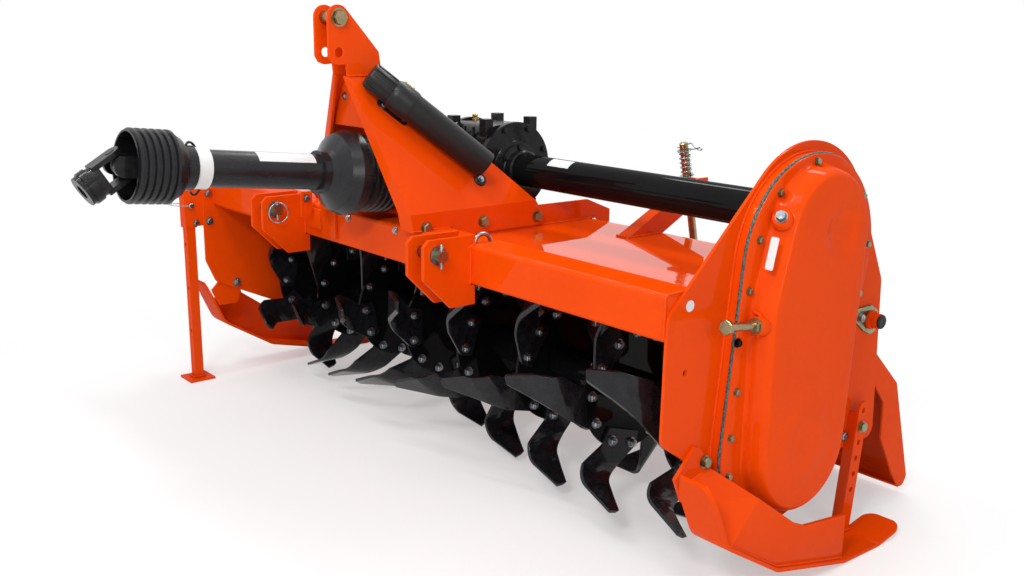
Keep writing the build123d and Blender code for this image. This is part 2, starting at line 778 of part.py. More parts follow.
ear_outline = [(36.0, 320.0), (97.0, 382.0), (113.0, 376.0), (152.0, 320.0), (132.0, 262.0), (36.0, 262.0)]
facet_outline = [
    (197.0, 270.0),
    (338.0, 169.0),
    (380.0, 150.0),
    (545.0, 128.0),
    (545.0, 0.0),
    (276.0, 40.0),
    (100.0, 170.0),
]


def make_skid_plate():
    ear_x = right_out + 0.3
    t = skid_plate_t
    ear = side_plate(ear_outline, ear_x, t)
    ear -= bar_x(129.0, 338.0, 6.0, ear_x - 1, ear_x + t + 1)
    wing = slab(
        [
            (ear_x + t, 36.0, 290.0),
            (ear_x + t, 140.0, 326.0),
            (skid_facet_x + t, 197.0, 270.0),
            (skid_facet_x + t, 100.0, 170.0),
        ],
        (-t, 0, 0),
    )
    facet = side_plate(facet_outline, skid_facet_x, t)
    return ear + wing + facet - below_runner() - make_runner(0.2)


def make_strap():
    """Angle bar with a row of holes, from the runner up to the end plate."""
    low = (678.0, runner_t - 4.0)
    high = (718.0, 330.0)
    half = strap_w / 2
    x0 = right_out + 20.4
    bar = side_plate(
        [(low[0] - half, low[1]), (low[0] + half, low[1]), (high[0] + half, high[1]), (high[0] - half, high[1])],
        x0,
        strap_t,
    )
    bar += bar_x(high[0], high[1], half, x0, x0 + strap_t)
    bar += side_plate(
        [
            (low[0] - half, low[1]),
            (low[0] - half + 7.0, low[1]),
            (high[0] - half + 7.0, high[1] - 6.0),
            (high[0] - half, high[1] - 6.0),
        ],
        right_out + 0.3,
        21.0,
    )
    for i in range(6):
        share = 0.36 + i * 0.127
        y = low[0] + (high[0] - low[0]) * share
        z = low[1] + (high[1] - low[1]) * share
        bar -= bar_x(y, z, 7.0, x0 - 1, x0 + strap_t + 1)
    return bar - below_runner() - make_runner(0.2)


runner, skid_plate, strap = make_runner(), make_skid_plate(), make_strap()
nodes["skid_runner_right"] = runner
nodes["skid_side_plate_right"] = skid_plate
nodes["skid_strap_right"] = strap
for name, shape in (("runner", runner), ("side_plate", skid_plate), ("strap", strap)):
    nodes["skid_" + name + "_left"] = Pos(0, left_skid_shift, 0) * mirror(shape, Plane.YZ)


# ---- parking stand ------------------------------------------------------------------
def square_tube(x, y, size, z0, z1, bore=0.0):
    tube = box_between(x - size / 2, x + size / 2, y - size / 2, y + size / 2, z0, z1)
    if bore:
        tube -= box_between(x - bore / 2, x + bore / 2, y - bore / 2, y + bore / 2, z0 - 1, z1 + 1)
    return tube


def make_stand_bracket():
    outer = stand_leg_w + 2 * stand_gap + 2 * stand_wall
    bracket = square_tube(stand_x, stand_y, outer, bracket_low, bracket_high, stand_leg_w + 2 * stand_gap)
    ear_x = left_out - 8.2
    bracket += box_between(ear_x, ear_x + 8.0, stand_y + outer / 2 - 1, 6.0, bracket_low + 4, bracket_high - 4)
    return bracket


def make_stand_leg():
    leg = square_tube(stand_x, stand_y, stand_leg_w, 0.0, stand_top, stand_leg_w - 8.0)
    leg += square_tube(stand_x, stand_y, stand_foot, 0.0, stand_foot_t)
    for z in (180.0, 337.0, 494.0):
        hole = Cylinder(6.5, stand_leg_w + 10)
        leg -= Pos(stand_x, stand_y, z) * Rot(90, 0, 0) * hole
    return leg


nodes["stand_bracket"] = make_stand_bracket()
nodes["stand_leg"] = make_stand_leg()

# ---- driveline ----------------------------------------------------------------------
drive_angle = atan2(drive_rise, 1.0)
drive_dir = Vector(0, -cos(drive_angle), sin(drive_angle))
rear_joint = Vector(hitch_x, rear_joint_y, rear_joint_z)
front_joint = rear_joint + drive_dir * front_joint_s


def ribbed(profile, first, pitch, count, base_r, rib_r, width):
    """Adds ribs to a profile of (radius, distance) points while it runs along base_r."""
    for i in range(count):
        s = first + i * pitch
        profile += [(base_r, s), (rib_r, s + width * 0.25), (rib_r, s + width * 0.75), (base_r, s + width)]
    return profile


# distances run from the rear joint towards the tractor
rear_bell = ribbed([(99.0, -22.0)], -14.0, 19.0, 5, 99.0, 104.0, 11.0)
rear_bell += [(104.0, 84.0), (114.0, 96.0), (115.0, 122.0), (103.0, 150.0), (70.0, 172.0), (57.0, 182.0)]
rear_bell += [(57.0, 202.0), (guard_r + 0.3, 202.0), (guard_r + 0.3, 176.0), (66.0, 166.0), (98.0, 146.0)]
rear_bell += [(110.0, 120.0), (109.0, 98.0), (94.0, 82.0), (94.0, -22.0)]
nodes["guard_bell_rear"] = turned(rear_joint, drive_dir, rear_bell)
front_bell = [(guard_r + 0.3, 549.0), (55.0, 549.0), (55.0, 573.0), (72.0, 584.0), (82.0, 600.0)]
front_bell += ribbed([], 606.0, 17.5, 6, 84.0, 90.0, 12.0)
front_bell += [(86.0, 709.0), (81.0, 709.0), (79.0, 606.0), (68.0, 590.0), (guard_r + 0.3, 570.0)]
nodes["guard_bell_front"] = turned(rear_joint, drive_dir, front_bell)
guard_tube = turned(
    rear_joint, drive_dir, [(guard_r - guard_wall, 176.0), (guard_r, 176.0), (guard_r, 556.0), (guard_r - guard_wall, 556.0)]
)
for start in (184.0, 536.0):
    inner = drive_shaft_r + shaft_clearance
    ring = [(inner, start), (guard_r - 1.0, start), (guard_r - 1.0, start + 12.0), (inner, start + 12.0)]
    guard_tube += turned(rear_joint, drive_dir, ring)
nodes["guard_tube"] = guard_tube
nodes["guard_ring"] = turned(
    rear_joint, drive_dir, [(guard_r + 0.3, 512.0), (51.5, 512.0), (51.5, 547.0), (guard_r + 0.3, 547.0)]
)
input_guard = turned(rear_joint, drive_dir, [(90.0, -330.0), (93.9, -330.0), (93.9, 30.0), (90.0, 30.0)])
half = 2 * rear_bell_r
behind_front_face = box_between(
    hitch_x - half,
    hitch_x + half,
    gearbox_y - gearbox_half_y - 0.2,
    gearbox_y + gearbox_half_y,
    rear_joint_z - half,
    rear_joint_z + half,
)
nodes["input_guard"] = input_guard - behind_front_face


def make_drive_shaft():
    """Shaft with the rear fork's hub and the front fork, whose ears lie either side in X."""
    shaft = turned(
        rear_joint,
        drive_dir,
        [
            (0.0, -16.0),
            (38.0, -16.0),
            (38.0, 60.0),
            (drive_shaft_r, 74.0),
            (drive_shaft_r, 630.0),
            (33.0, 634.0),
            (36.0, 666.0),
            (0.0, 666.0),
        ],
    )
    frame = Plane(origin=front_joint, x_dir=(1, 0, 0), z_dir=drive_dir)
    for sign in (1, -1):
        ear = Box(13.0, 50.0, 64.0, align=(Align.CENTER, Align.CENTER, Align.MAX))
        ear += Rot(0, 90, 0) * Cylinder(25.0, 13.0)
        ear -= Rot(0, 90, 0) * Cylinder(cross_pin_r + pin_clearance, 20.0)
        shaft += frame * Pos(sign * 34.0, 0, 0) * ear
    web = Box(81.0, 50.0, 14.0, align=(Align.CENTER, Align.CENTER, Align.MAX))
    return shaft + frame * Pos(0, 0, -54.0) * web


droop = drive_angle - radians(yoke_droop)
yoke_dir = Vector(0, -cos(droop), sin(droop))
yoke_frame = Plane(origin=front_joint, x_dir=(1, 0, 0), z_dir=yoke_dir)


def make_cross():
    pin_a = Rot(0, 90, 0) * Cylinder(cross_pin_r, 2 * cross_pin_half)
    pin_b = Rot(90, 0, 0) * Cylinder(cross_pin_r, 2 * cross_pin_half)
    return yoke_frame * (pin_a + pin_b + Sphere(19.0))


def make_tractor_yoke():
    hub = Cylinder(yoke_hub_r, yoke_len - hub_start, align=(Align.CENTER, Align.CENTER, Align.MIN))
    collar = Cylinder(42.0, 20.0, align=(Align.CENTER, Align.CENTER, Align.MIN))
    body = Pos(0, 0, hub_start) * hub + Pos(0, 0, 72.0) * collar
    for sign in (1, -1):
        ear = Box(46.0, 12.0, 60.0, align=(Align.CENTER, Align.CENTER, Align.MIN))
        ear += Rot(90, 0, 0) * Cylinder(23.0, 12.0)
        ear -= Rot(90, 0, 0) * Cylinder(cross_pin_r + pin_clearance, 20.0)
        body += Pos(0, sign * 33.0, 0) * ear
    web = Box(46.0, 78.0, 10.0, align=(Align.CENTER, Align.CENTER, Align.MIN))
    body += Pos(0, 0, hub_start - 6.0) * web
    body -= Pos(0, 0, 30.0) * Cylinder(yoke_bore_r, yoke_len, align=(Align.CENTER, Align.CENTER, Align.MIN))
    return yoke_frame * body


nodes["driveline_shaft"] = make_drive_shaft()
nodes["universal_cross"] = make_cross()
nodes["tractor_yoke"] = make_tractor_yoke()

# ---- manual canister ----------------------------------------------------------------
# distances of its axis from the right mast plate's outer face, along X
canister_low = Vector(mast_x(mast_bend_z + 106.0, 1) + 51.1, 221.0, mast_bend_z + 106.0)
canister_high = Vector(mast_x(mast_top_z + 4.0, 1) + 42.3, -50.0, mast_top_z + 4.0)
canister_dir = (canister_high - canister_low).normalized()
canister_len = (canister_high - canister_low).length
canister_r = 32.0
nodes["manual_canister"] = turned(
    canister_low,
    canister_dir,
    [(0.0, 0.0), (canister_r, 0.0), (canister_r, canister_len - 96.0), (0.0, canister_len - 96.0)],
)
nodes["canister_cap"] = turned(
    canister_low,
    canister_dir,
    [
        (0.0, canister_len - 95.8),
        (canister_r + 5.0, canister_len - 95.8),
        (canister_r + 5.0, canister_len - 58.0),
        (canister_r + 2.0, canister_len - 52.0),
        (canister_r + 2.0, canister_len),
        (0.0, canister_len),
    ],
)

mast_lean = Vector(mast_top_z - mast_bend_z, 0, mast_half_base - mast_half_top).normalized()
clips = []
for distance in (40.0, canister_len - 118.0):
    spot = canister_low + canister_dir * distance
    to_plate = (spot.X - mast_x(spot.Z, 1)) * mast_lean.X
    clip = Box(44.0, 24.0, to_plate - 0.15, align=(Align.CENTER, Align.CENTER, Align.MIN))
    clip = Plane(origin=spot, x_dir=canister_dir.cross(mast_lean), z_dir=-mast_lean) * clip
    band_r = canister_r + 4.0
    band = [(canister_r, distance - 8.0), (band_r, distance - 8.0), (band_r, distance + 8.0), (canister_r, distance + 8.0)]
    clip += turned(canister_low, canister_dir, band)
    clips.append(clip - turned(canister_low, canister_dir, [(0.0, -5.0), (canister_r + 0.1, -5.0), (canister_r + 0.1, 400.0), (0.0, 400.0)]))
nodes["canister_clips"] = clips

# ---- place on the floor, centred, and write every piece ------------------------------
def listed(shape):
    return list(shape) if isinstance(shape, (list, ShapeList)) else [shape]


whole = Compound([solid for shape in nodes.values() for item in listed(shape) for solid in item.solids()])
box = whole.bounding_box()
shift = Vector(-(box.min.X + box.max.X) / 2, -(box.min.Y + box.max.Y) / 2, -box.min.Z)
for name, shape in nodes.items():
    solids = [solid for item in listed(shape) for solid in item.solids()]
    moved = [solid.moved(Location(shift)) for solid in solids]
    export_step(moved[0] if len(moved) == 1 else Compound(moved), "parts/" + name + ".step")
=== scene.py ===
import json
from math import acos, atan2, cos, dist, pi, radians, sin, tan

import bmesh
import bpy
from mathutils import Matrix, Vector


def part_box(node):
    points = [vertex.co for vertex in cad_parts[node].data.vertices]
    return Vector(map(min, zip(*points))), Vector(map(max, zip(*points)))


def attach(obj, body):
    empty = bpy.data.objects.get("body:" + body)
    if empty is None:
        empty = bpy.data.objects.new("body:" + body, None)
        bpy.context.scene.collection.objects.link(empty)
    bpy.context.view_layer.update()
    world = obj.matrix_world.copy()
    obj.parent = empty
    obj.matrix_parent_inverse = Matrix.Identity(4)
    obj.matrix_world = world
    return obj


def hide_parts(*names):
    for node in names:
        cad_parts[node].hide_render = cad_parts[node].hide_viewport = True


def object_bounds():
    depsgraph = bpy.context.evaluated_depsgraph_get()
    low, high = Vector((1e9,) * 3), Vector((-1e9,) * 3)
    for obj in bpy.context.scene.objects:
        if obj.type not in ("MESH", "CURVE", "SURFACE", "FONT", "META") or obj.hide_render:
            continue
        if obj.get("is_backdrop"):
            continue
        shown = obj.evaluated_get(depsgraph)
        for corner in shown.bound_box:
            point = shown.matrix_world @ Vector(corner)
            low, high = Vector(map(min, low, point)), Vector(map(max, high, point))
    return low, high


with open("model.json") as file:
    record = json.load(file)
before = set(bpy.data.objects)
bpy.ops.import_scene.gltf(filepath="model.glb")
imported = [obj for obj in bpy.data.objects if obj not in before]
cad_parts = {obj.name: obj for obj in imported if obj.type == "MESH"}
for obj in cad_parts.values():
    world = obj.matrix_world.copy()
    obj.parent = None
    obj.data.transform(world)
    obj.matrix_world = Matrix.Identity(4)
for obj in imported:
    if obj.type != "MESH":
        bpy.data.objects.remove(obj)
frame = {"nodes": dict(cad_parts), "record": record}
cad_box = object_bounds()
NODES = frame["nodes"]

# ---- where things are
# Drawing frame: millimetres, X from the middle of the machine towards the gear-case side,
# Y rearwards from the front tube's front face, Z up from the floor.
MM = 0.001
TUBE_LOW, TUBE_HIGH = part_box("front_tube")
ORIGIN = Vector(((TUBE_LOW.x + TUBE_HIGH.x) / 2, TUBE_LOW.y, cad_box[0].z))
X_OUT, X_IN = Vector((1, 0, 0)), Vector((-1, 0, 0))
FRONT, REAR, UP = Vector((0, -1, 0)), Vector((0, 1, 0)), Vector((0, 0, 1))
SIDES = (("right", 1), ("left", -1))


def at(x, y, z):
    """A place in the drawing frame, in metres in the model's frame."""
    return ORIGIN + Vector((x, y, z)) * MM


def low(node):
    """A node's lowest corner in the drawing frame."""
    return (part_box(node)[0] - ORIGIN) / MM


def high(node):
    """A node's highest corner in the drawing frame."""
    return (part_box(node)[1] - ORIGIN) / MM


def middle(node):
    """A node's middle in the drawing frame."""
    return (low(node) + high(node)) / 2


def new_object(name, data):
    """Puts an object into the scene."""
    made = bpy.data.objects.new(name, data)
    bpy.context.scene.collection.objects.link(made)
    return made


HITCH_X = (low("hitch_head_left").x + high("hitch_head_right").x) / 2
RIGHT_OUT, RIGHT_IN = high("end_plate_right").x, low("end_plate_right").x
LEFT_OUT, LEFT_IN = low("end_plate_left").x, high("end_plate_left").x
TUBE_TOP, TUBE_UNDER, TUBE_BACK = high("front_tube").z, low("front_tube").z, high("front_tube").y
DECK_TOP = high("deck").z
ROTOR = middle("rotor_shaft")

# ---- finishes


class Signal:
    """A value on its way through a finish's nodes, with arithmetic."""

    def __init__(self, finish, socket):
        self.finish, self.socket = finish, socket

    def maths(self, operation, *values):
        return self.finish.add("ShaderNodeMath", {"operation": operation}, *values)

    def __add__(self, other):
        return self.maths("ADD", self, other)

    def __sub__(self, other):
        return self.maths("SUBTRACT", self, other)

    def __rsub__(self, other):
        return self.maths("SUBTRACT", other, self)

    def __mul__(self, other):
        return self.maths("MULTIPLY", self, other)

    __radd__ = __add__
    __rmul__ = __mul__

    def between(self, start, end):
        """0 below start, 1 above end and smooth between."""
        settings = {"interpolation_type": "SMOOTHSTEP"}
        return self.finish.add("ShaderNodeMapRange", settings, self, start, end)

    def output(self, name):
        return Signal(self.finish, self.socket.node.outputs[name])


class Finish:
    """A material built from signals."""

    def __init__(self, name, **fixed):
        self.material = bpy.data.materials.new(name)
        self.material.use_nodes = True
        self.tree = self.material.node_tree
        self.shader = self.tree.nodes["Principled BSDF"]
        for socket, value in fixed.items():
            self.shader.inputs[socket.replace("_", " ")].default_value = value
        self.place = self.add("ShaderNodeTexCoord", {}).output("Object")

    def add(self, kind, settings, *values, **named):
        """A node with its settings, then its sockets in order or by name."""
        node = self.tree.nodes.new(kind)
        for key, value in settings.items():
            setattr(node, key, value)
        pairs = list(zip([s for s in node.inputs if s.enabled], values))
        pairs += [(node.inputs[key.replace("_", " ")], value) for key, value in named.items()]
        for socket, value in pairs:
            if isinstance(value, Signal):
                self.tree.links.new(value.socket, socket)
            else:
                socket.default_value = value
        outputs = [s for s in node.outputs if s.enabled]
        return Signal(self, outputs[0]) if outputs else None

    def noise(self, scale, detail=3.0, roughness=0.5, stretch=None):
        place = self.place
        if stretch:
            place = self.add("ShaderNodeMapping", {}, place, Scale=stretch)
        sockets = {"Vector": place, "Scale": scale, "Detail": detail, "Roughness": roughness}
        return self.add("ShaderNodeTexNoise", {}, **sockets)

    def mix(self, amount, first, second):
        """Blend of two colours."""
        colours = [c if isinstance(c, Signal) else (*c, 1.0) for c in (first, second)]
        return self.add("ShaderNodeMix", {"data_type": "RGBA"}, amount, *colours)

    def wear(self, colour, bump, depth, roughness=None, strength=1.0):
        """Joins the signals to the shader."""
        self.tree.links.new(colour.socket, self.shader.inputs["Base Color"])
        if roughness is not None:
            self.tree.links.new(roughness.socket, self.shader.inputs["Roughness"])
        bumped = self.add("ShaderNodeBump", {}, Strength=strength, Distance=depth, Height=bump)
        self.tree.links.new(bumped.socket, self.shader.inputs["Normal"])
        return self.material


def enamel(name, base, shade, gloss=0.3, ripple=0.00012, coat=0.16):
    """Sprayed enamel: slow colour drift, thin patches and orange peel under a hard gloss."""
    paint = Finish(name, Coat_Weight=coat, Coat_Roughness=0.03, IOR=1.5, Specular_IOR_Level=0.0)
    drift, fine = paint.noise(5.0, 4.0), paint.noise(60.0)
    peel, slow = paint.noise(240.0, 2.0), paint.noise(22.0, 2.0)
    mottle = (drift * 0.7 + fine * 0.3).between(0.35, 0.7)
    colour = paint.mix(mottle, base, shade)
    return paint.wear(colour, peel * 0.25 + slow * 1.0, ripple, fine * 0.12 + gloss, 0.8)


def cast_enamel(name, base, shade, coat=0.22):
    """Enamel over a sand casting or a forging."""
    paint = Finish(name, Coat_Weight=coat, Coat_Roughness=0.06, IOR=1.5, Specular_IOR_Level=0.1)
    grit, lumps = paint.noise(420.0, 4.0, 0.6), paint.noise(45.0)
    colour = paint.mix(lumps.between(0.4, 0.7), base, shade)
    return paint.wear(colour, grit * 0.6 + lumps * 1.4, 0.0006, grit * 0.15 + 0.2, 0.8)


def plated(name, base, tint, far, rough=0.28):
    """Zinc plating with its cloudy tints."""
    metal = Finish(name, Metallic=1.0)
    cloud, other = metal.noise(70.0), metal.noise(150.0, 2.0)
    brushed = metal.noise(900.0, 2.0, 0.5, (1.0, 1.0, 0.15))
    first = metal.mix(cloud.between(0.35, 0.65), base, tint)
    colour = metal.mix(other.between(0.5, 0.75), first, far)
    return metal.wear(colour, brushed, 0.00008, cloud * 0.2 + rough - 0.08, 0.6)


def moulded(name, base, shade, rough, grain=0.00015, gloss=0.3):
    """Moulded plastic with a fine grain and scuffs."""
    plastic = Finish(name, IOR=1.46, Specular_IOR_Level=gloss)
    drift, grit = plastic.noise(9.0), plastic.noise(1100.0, 2.0)
    scuff = plastic.noise(35.0, 5.0, 0.65, (1.0, 0.25, 1.0)).between(0.58, 0.74)
    colour = plastic.mix(scuff * 0.5 + drift.between(0.3, 0.8) * 0.5, base, shade)
    return plastic.wear(colour, grit, grain, scuff * 0.15 + rough, 0.6)


def sealing_cord(name, base, shade):
    """Speckled sealing cord, squeezed out between case and cover."""
    seal = Finish(name, Roughness=0.6)
    beads = seal.noise(260.0, 3.0, 0.7)
    return seal.wear(seal.mix(beads.between(0.42, 0.62), base, shade), beads, 0.0015)


PAINT, THIN_PAINT = (0.75, 0.062, 0.002), (0.71, 0.057, 0.001)
ORANGE = enamel("orange enamel", PAINT, THIN_PAINT)
DECK_ORANGE = enamel("orange enamel on deck", PAINT, THIN_PAINT, coat=0.9)
WELD_ORANGE = enamel("orange enamel over weld", (0.76, 0.066, 0.004), (0.66, 0.052, 0.003), 0.26, 0.0006)
BLACK = enamel("black enamel", (0.004, 0.004, 0.005), (0.006, 0.006, 0.006), 0.2, coat=0.2)
CAST_BLACK = cast_enamel("black enamel on casting", (0.005, 0.005, 0.006), (0.010, 0.010, 0.010))
TINE_BLACK = cast_enamel("black paint on tines", (0.008, 0.008, 0.010), (0.014, 0.014, 0.017), 0.4)
SHAFT_BLACK = cast_enamel("black paint on driveline", (0.008, 0.008, 0.009), (0.016, 0.015, 0.015))
ZINC = plated("bright zinc", (0.36, 0.39, 0.41), (0.22, 0.26, 0.29), (0.48, 0.49, 0.46))
DULL_ZINC = plated("dull zinc", (0.24, 0.26, 0.28), (0.13, 0.16, 0.18), (0.34, 0.35, 0.34), 0.36)
YELLOW_ZINC = plated("yellow zinc", (0.38, 0.29, 0.14), (0.25, 0.25, 0.14), (0.44, 0.27, 0.20))
GREEN_ZINC = plated("olive zinc", (0.20, 0.25, 0.15), (0.30, 0.32, 0.20), (0.14, 0.19, 0.18), 0.3)
BRASS = plated("brass", (0.50, 0.34, 0.10), (0.40, 0.26, 0.08), (0.56, 0.40, 0.16))
GUARD_BLACK = moulded("black guard plastic", (0.008, 0.008, 0.010), (0.018, 0.018, 0.019), 0.27, gloss=0.36)
CANISTER_BLACK = moulded("black canister plastic", (0.009, 0.009, 0.009), (0.016, 0.016, 0.016), 0.36)
WHITE_BAND = moulded("white band plastic", (0.66, 0.66, 0.65), (0.56, 0.56, 0.55), 0.4)
RUBBER = moulded("cap rubber", (0.012, 0.012, 0.014), (0.022, 0.022, 0.024), 0.5)
STICKER = moulded("blank white label", (0.68, 0.68, 0.68), (0.60, 0.61, 0.61), 0.32, 0.00005)
GASKET = sealing_cord("gasket", (0.012, 0.028, 0.030), (0.10, 0.16, 0.14))

SLOT_FINISH = {
    "orange_paint": ORANGE,
    "black_paint": BLACK,
    "tine_steel": TINE_BLACK,
    "driveline_steel": SHAFT_BLACK,
    "zinc_yellow": YELLOW_ZINC,
    "zinc_bright": ZINC,
    "gasket": GASKET,
    "guard_plastic": GUARD_BLACK,
    "white_plastic": WHITE_BAND,
}
NODE_FINISH = {"deck": DECK_ORANGE}
NODE_FINISH.update({name: CAST_BLACK for name in ("gearbox", "gearbox_cover_left", "gearbox_cover_right")})
NODE_FINISH.update({name: CANISTER_BLACK for name in ("manual_canister", "canister_cap", "canister_clips")})
SLOT_OF = {row["node"]: row["material_slot"] for row in frame["record"]["subparts"]}
for name, node in NODES.items():
    node.data.materials.clear()
    node.data.materials.append(NODE_FINISH.get(name, SLOT_FINISH[SLOT_OF[name]]))

# what a new piece is made of: its slot and its finish
PAINTED = ("orange_paint", ORANGE)
WELDED = ("orange_paint", WELD_ORANGE)
SEALED = ("orange_paint", GASKET)
CAST = ("black_paint", CAST_BLACK)
BRIGHT = ("zinc_bright", ZINC)
DULL = ("zinc_bright", DULL_ZINC)
OLIVE = ("zinc_bright", GREEN_ZINC)
OLIVE_PLATE = ("zinc_yellow", GREEN_ZINC)
GOLDEN = ("zinc_yellow", YELLOW_ZINC)
BRASSY = ("zinc_bright", BRASS)
BLACKED = ("zinc_bright", BLACK)
BARE_BADGE = ("zinc_bright", STICKER)
BARE_LABEL = ("white_plastic", STICKER)
GUARD = ("guard_plastic", GUARD_BLACK)
CANISTER = ("guard_plastic", CANISTER_BLACK)
END_CAP = ("guard_plastic", RUBBER)


def both(*stems):
    return [stem + side for stem in stems for side in ("_right", "_left")]


# sheet and plate edges catch the light: a narrow round on each sharp edge
EDGE_ROUNDS = {
    3.0: ["front_tube"],
    1.8: both("hitch_clevis", "skid_runner"),
    1.6: both("end_plate", "mast_plate", "hitch_head", "skid_side_plate"),
    1.5: ["stand_leg"],
    1.4: ["tines_right_hand", "tines_left_hand"],
    1.2: ["deck", "tailgate_sheet"],
}
for width, names in EDGE_ROUNDS.items():
    for name in names:
        modifiers = NODES[name].modifiers
        modifiers.new("weld", "WELD").merge_threshold = 0.02 * MM
        flat = modifiers.new("flat", "DECIMATE")
        flat.decimate_type = "DISSOLVE"
        flat.angle_limit = radians(0.5)
        edge = modifiers.new("edge", "BEVEL")
        edge.width = width * MM
        edge.segments = 2
        edge.limit_method = "ANGLE"
        edge.angle_limit = radians(35.0)
        edge.harden_normals = True

# ---- making pieces


def turn_to(direction):
    """Rotation that takes +Z to a direction."""
    return Vector(direction).normalized().to_track_quat("Z", "Y").to_matrix().to_4x4()


def fasten(name, data, made_of, body):
    """Makes an object of a mesh or curve and lets it ride on a body."""
    slot, finish = made_of
    data.materials.append(finish)
    made = new_object(name, data)
    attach(made, body)
    return made


def sharp_edges(mesh, angle):
    return [e for e in mesh.edges if len(e.link_faces) == 2 and e.calc_face_angle(0.0) > radians(angle)]


def piece(name, mesh, made_of, angle=35.0, body="frame"):
    """Makes a piece of a bmesh, with crisp edges past an angle."""
    bmesh.ops.recalc_face_normals(mesh, faces=mesh.faces)
    for face in mesh.faces:
        face.smooth = True
    for edge in sharp_edges(mesh, angle):
        edge.smooth = False
    data = bpy.data.meshes.new(name)
    mesh.to_mesh(data)
    mesh.free()
    return fasten(name, data, made_of, body)


def soften(mesh, width, angle=30.0):
    """Rounds every edge sharper than an angle."""
    rounding = {"segments": 2, "profile": 0.5, "affect": "EDGES", "material": -1, "clamp_overlap": True}
    bmesh.ops.bevel(mesh, geom=sharp_edges(mesh, angle), offset=width * MM, **rounding)


def push_new(mesh, made, shift):
    """Moves the corners that an extrusion made."""
    moved = [g for g in made["geom"] if isinstance(g, bmesh.types.BMVert)]
    bmesh.ops.translate(mesh, verts=moved, vec=shift * MM)
    bmesh.ops.recalc_face_normals(mesh, faces=mesh.faces)


def add_disc(mesh, centre, axis, radius, length, sides, top=None):
    """Prism or cylinder from a base centre along an axis; top is its far radius."""
    far = radius if top is None else top
    matrix = Matrix.Translation(at(*centre)) @ turn_to(axis) @ Matrix.Translation((0, 0, length * MM / 2))
    sizes = {"radius1": radius * MM, "radius2": far * MM, "depth": length * MM}
    bmesh.ops.create_cone(mesh, cap_ends=True, segments=sides, matrix=matrix, **sizes)


def add_block(mesh, centre, basis, size):
    """Block with its sides along the columns of a basis."""
    matrix = Matrix.Translation(at(*centre)) @ basis.to_4x4() @ Matrix.Diagonal((*(Vector(size) * MM), 1))
    bmesh.ops.create_cube(mesh, size=1.0, matrix=matrix)


def add_turned(mesh, centre, axis, profile, steps=48):
    """Solid of revolution from (radius, distance) points along an axis."""
    before = set(mesh.verts)
    spots = [mesh.verts.new(Vector((r * MM, 0, s * MM))) for r, s in profile]
    edges = [mesh.edges.new(pair) for pair in zip(spots, spots[1:])]
    round_z = {"cent": (0, 0, 0), "axis": (0, 0, 1), "angle": 2 * pi, "steps": steps, "use_merge": True}
    bmesh.ops.spin(mesh, geom=spots + edges, **round_z)
    fresh = [v for v in mesh.verts if v not in before]
    bmesh.ops.remove_doubles(mesh, verts=fresh, dist=1e-6)
    fresh = [v for v in fresh if v.is_valid]
    bmesh.ops.transform(mesh, matrix=Matrix.Translation(at(*centre)) @ turn_to(axis), verts=fresh)


def turned(name, centre, axis, profile, made_of, steps=48, angle=35.0):
    """Piece that is one solid of revolution."""
    mesh = bmesh.new()
    add_turned(mesh, centre, axis, profile, steps)
    return piece(name, mesh, made_of, angle)


def sleeve(inner, outer, start, end):
    """Profile of a ring."""
    return [(inner, start), (outer, start), (outer, end), (inner, end), (inner, start)]


def new_curve(name, radius, roundness):
    """Empty curve with a round section."""
    curve = bpy.data.curves.new(name, "CURVE")
    curve.dimensions = "3D"
    curve.bevel_depth = radius * MM
    curve.bevel_resolution = roundness
    curve.use_fill_caps = True
    return curve


def wire(name, points, radius, made_of, body="frame", closed=False, resolution=6):
    """Round wire that follows points."""
    curve = new_curve(name, radius, 3)
    spline = curve.splines.new("NURBS")
    spline.points.add(len(points) - 1)
    for spot, place in zip(spline.points, points):
        spot.co = (*at(*place), 1.0)
    spline.order_u = 3
    spline.use_cyclic_u = closed
    spline.use_endpoint_u = not closed
    spline.resolution_u = resolution
    return fasten(name, curve, made_of, body)


def spaced(line, shares):
    """Places at shares of the way along a line of points."""
    lengths = [dist(*pair) for pair in zip(line, line[1:])]
    total, places, done, i = sum(lengths), [], 0.0, 0
    for share in shares:
        while i < len(lengths) - 1 and done + lengths[i] < total * share:
            done += lengths[i]
            i += 1
        part = (total * share - done) / lengths[i] if lengths[i] else 0.0
        places.append(tuple(a + (b - a) * part for a, b in zip(line[i], line[i + 1])))
    return places


def evenly(loop, count):
    """Even places along a line that ends where it starts."""
    return spaced(loop, [k / count for k in range(count)])


NEARLY_ALL = 0.99999


def bead(name, path, radius, body="frame", closed=False, made_of=WELDED, pitch=None):
    """Rippled weld bead along a path."""
    line = [*path, path[0]] if closed else path
    length = sum(dist(*pair) for pair in zip(line, line[1:]))
    count = max(8, int(length / (pitch or radius * 0.9)))
    curve = new_curve(name, radius, 2)
    spline = curve.splines.new("POLY")
    spline.points.add(count - 1)
    step = NEARLY_ALL / (count if closed else count - 1)
    for k, place in enumerate(spaced(line, [k * step for k in range(count)])):
        spline.points[k].co = (*at(*place), 1.0)
        spline.points[k].radius = (1.0 if k % 2 else 0.84) * (1 + 0.09 * sin(k * 1.7) + 0.05 * sin(k * 0.61))
    spline.use_cyclic_u = closed
    return fasten(name, curve, made_of, body)


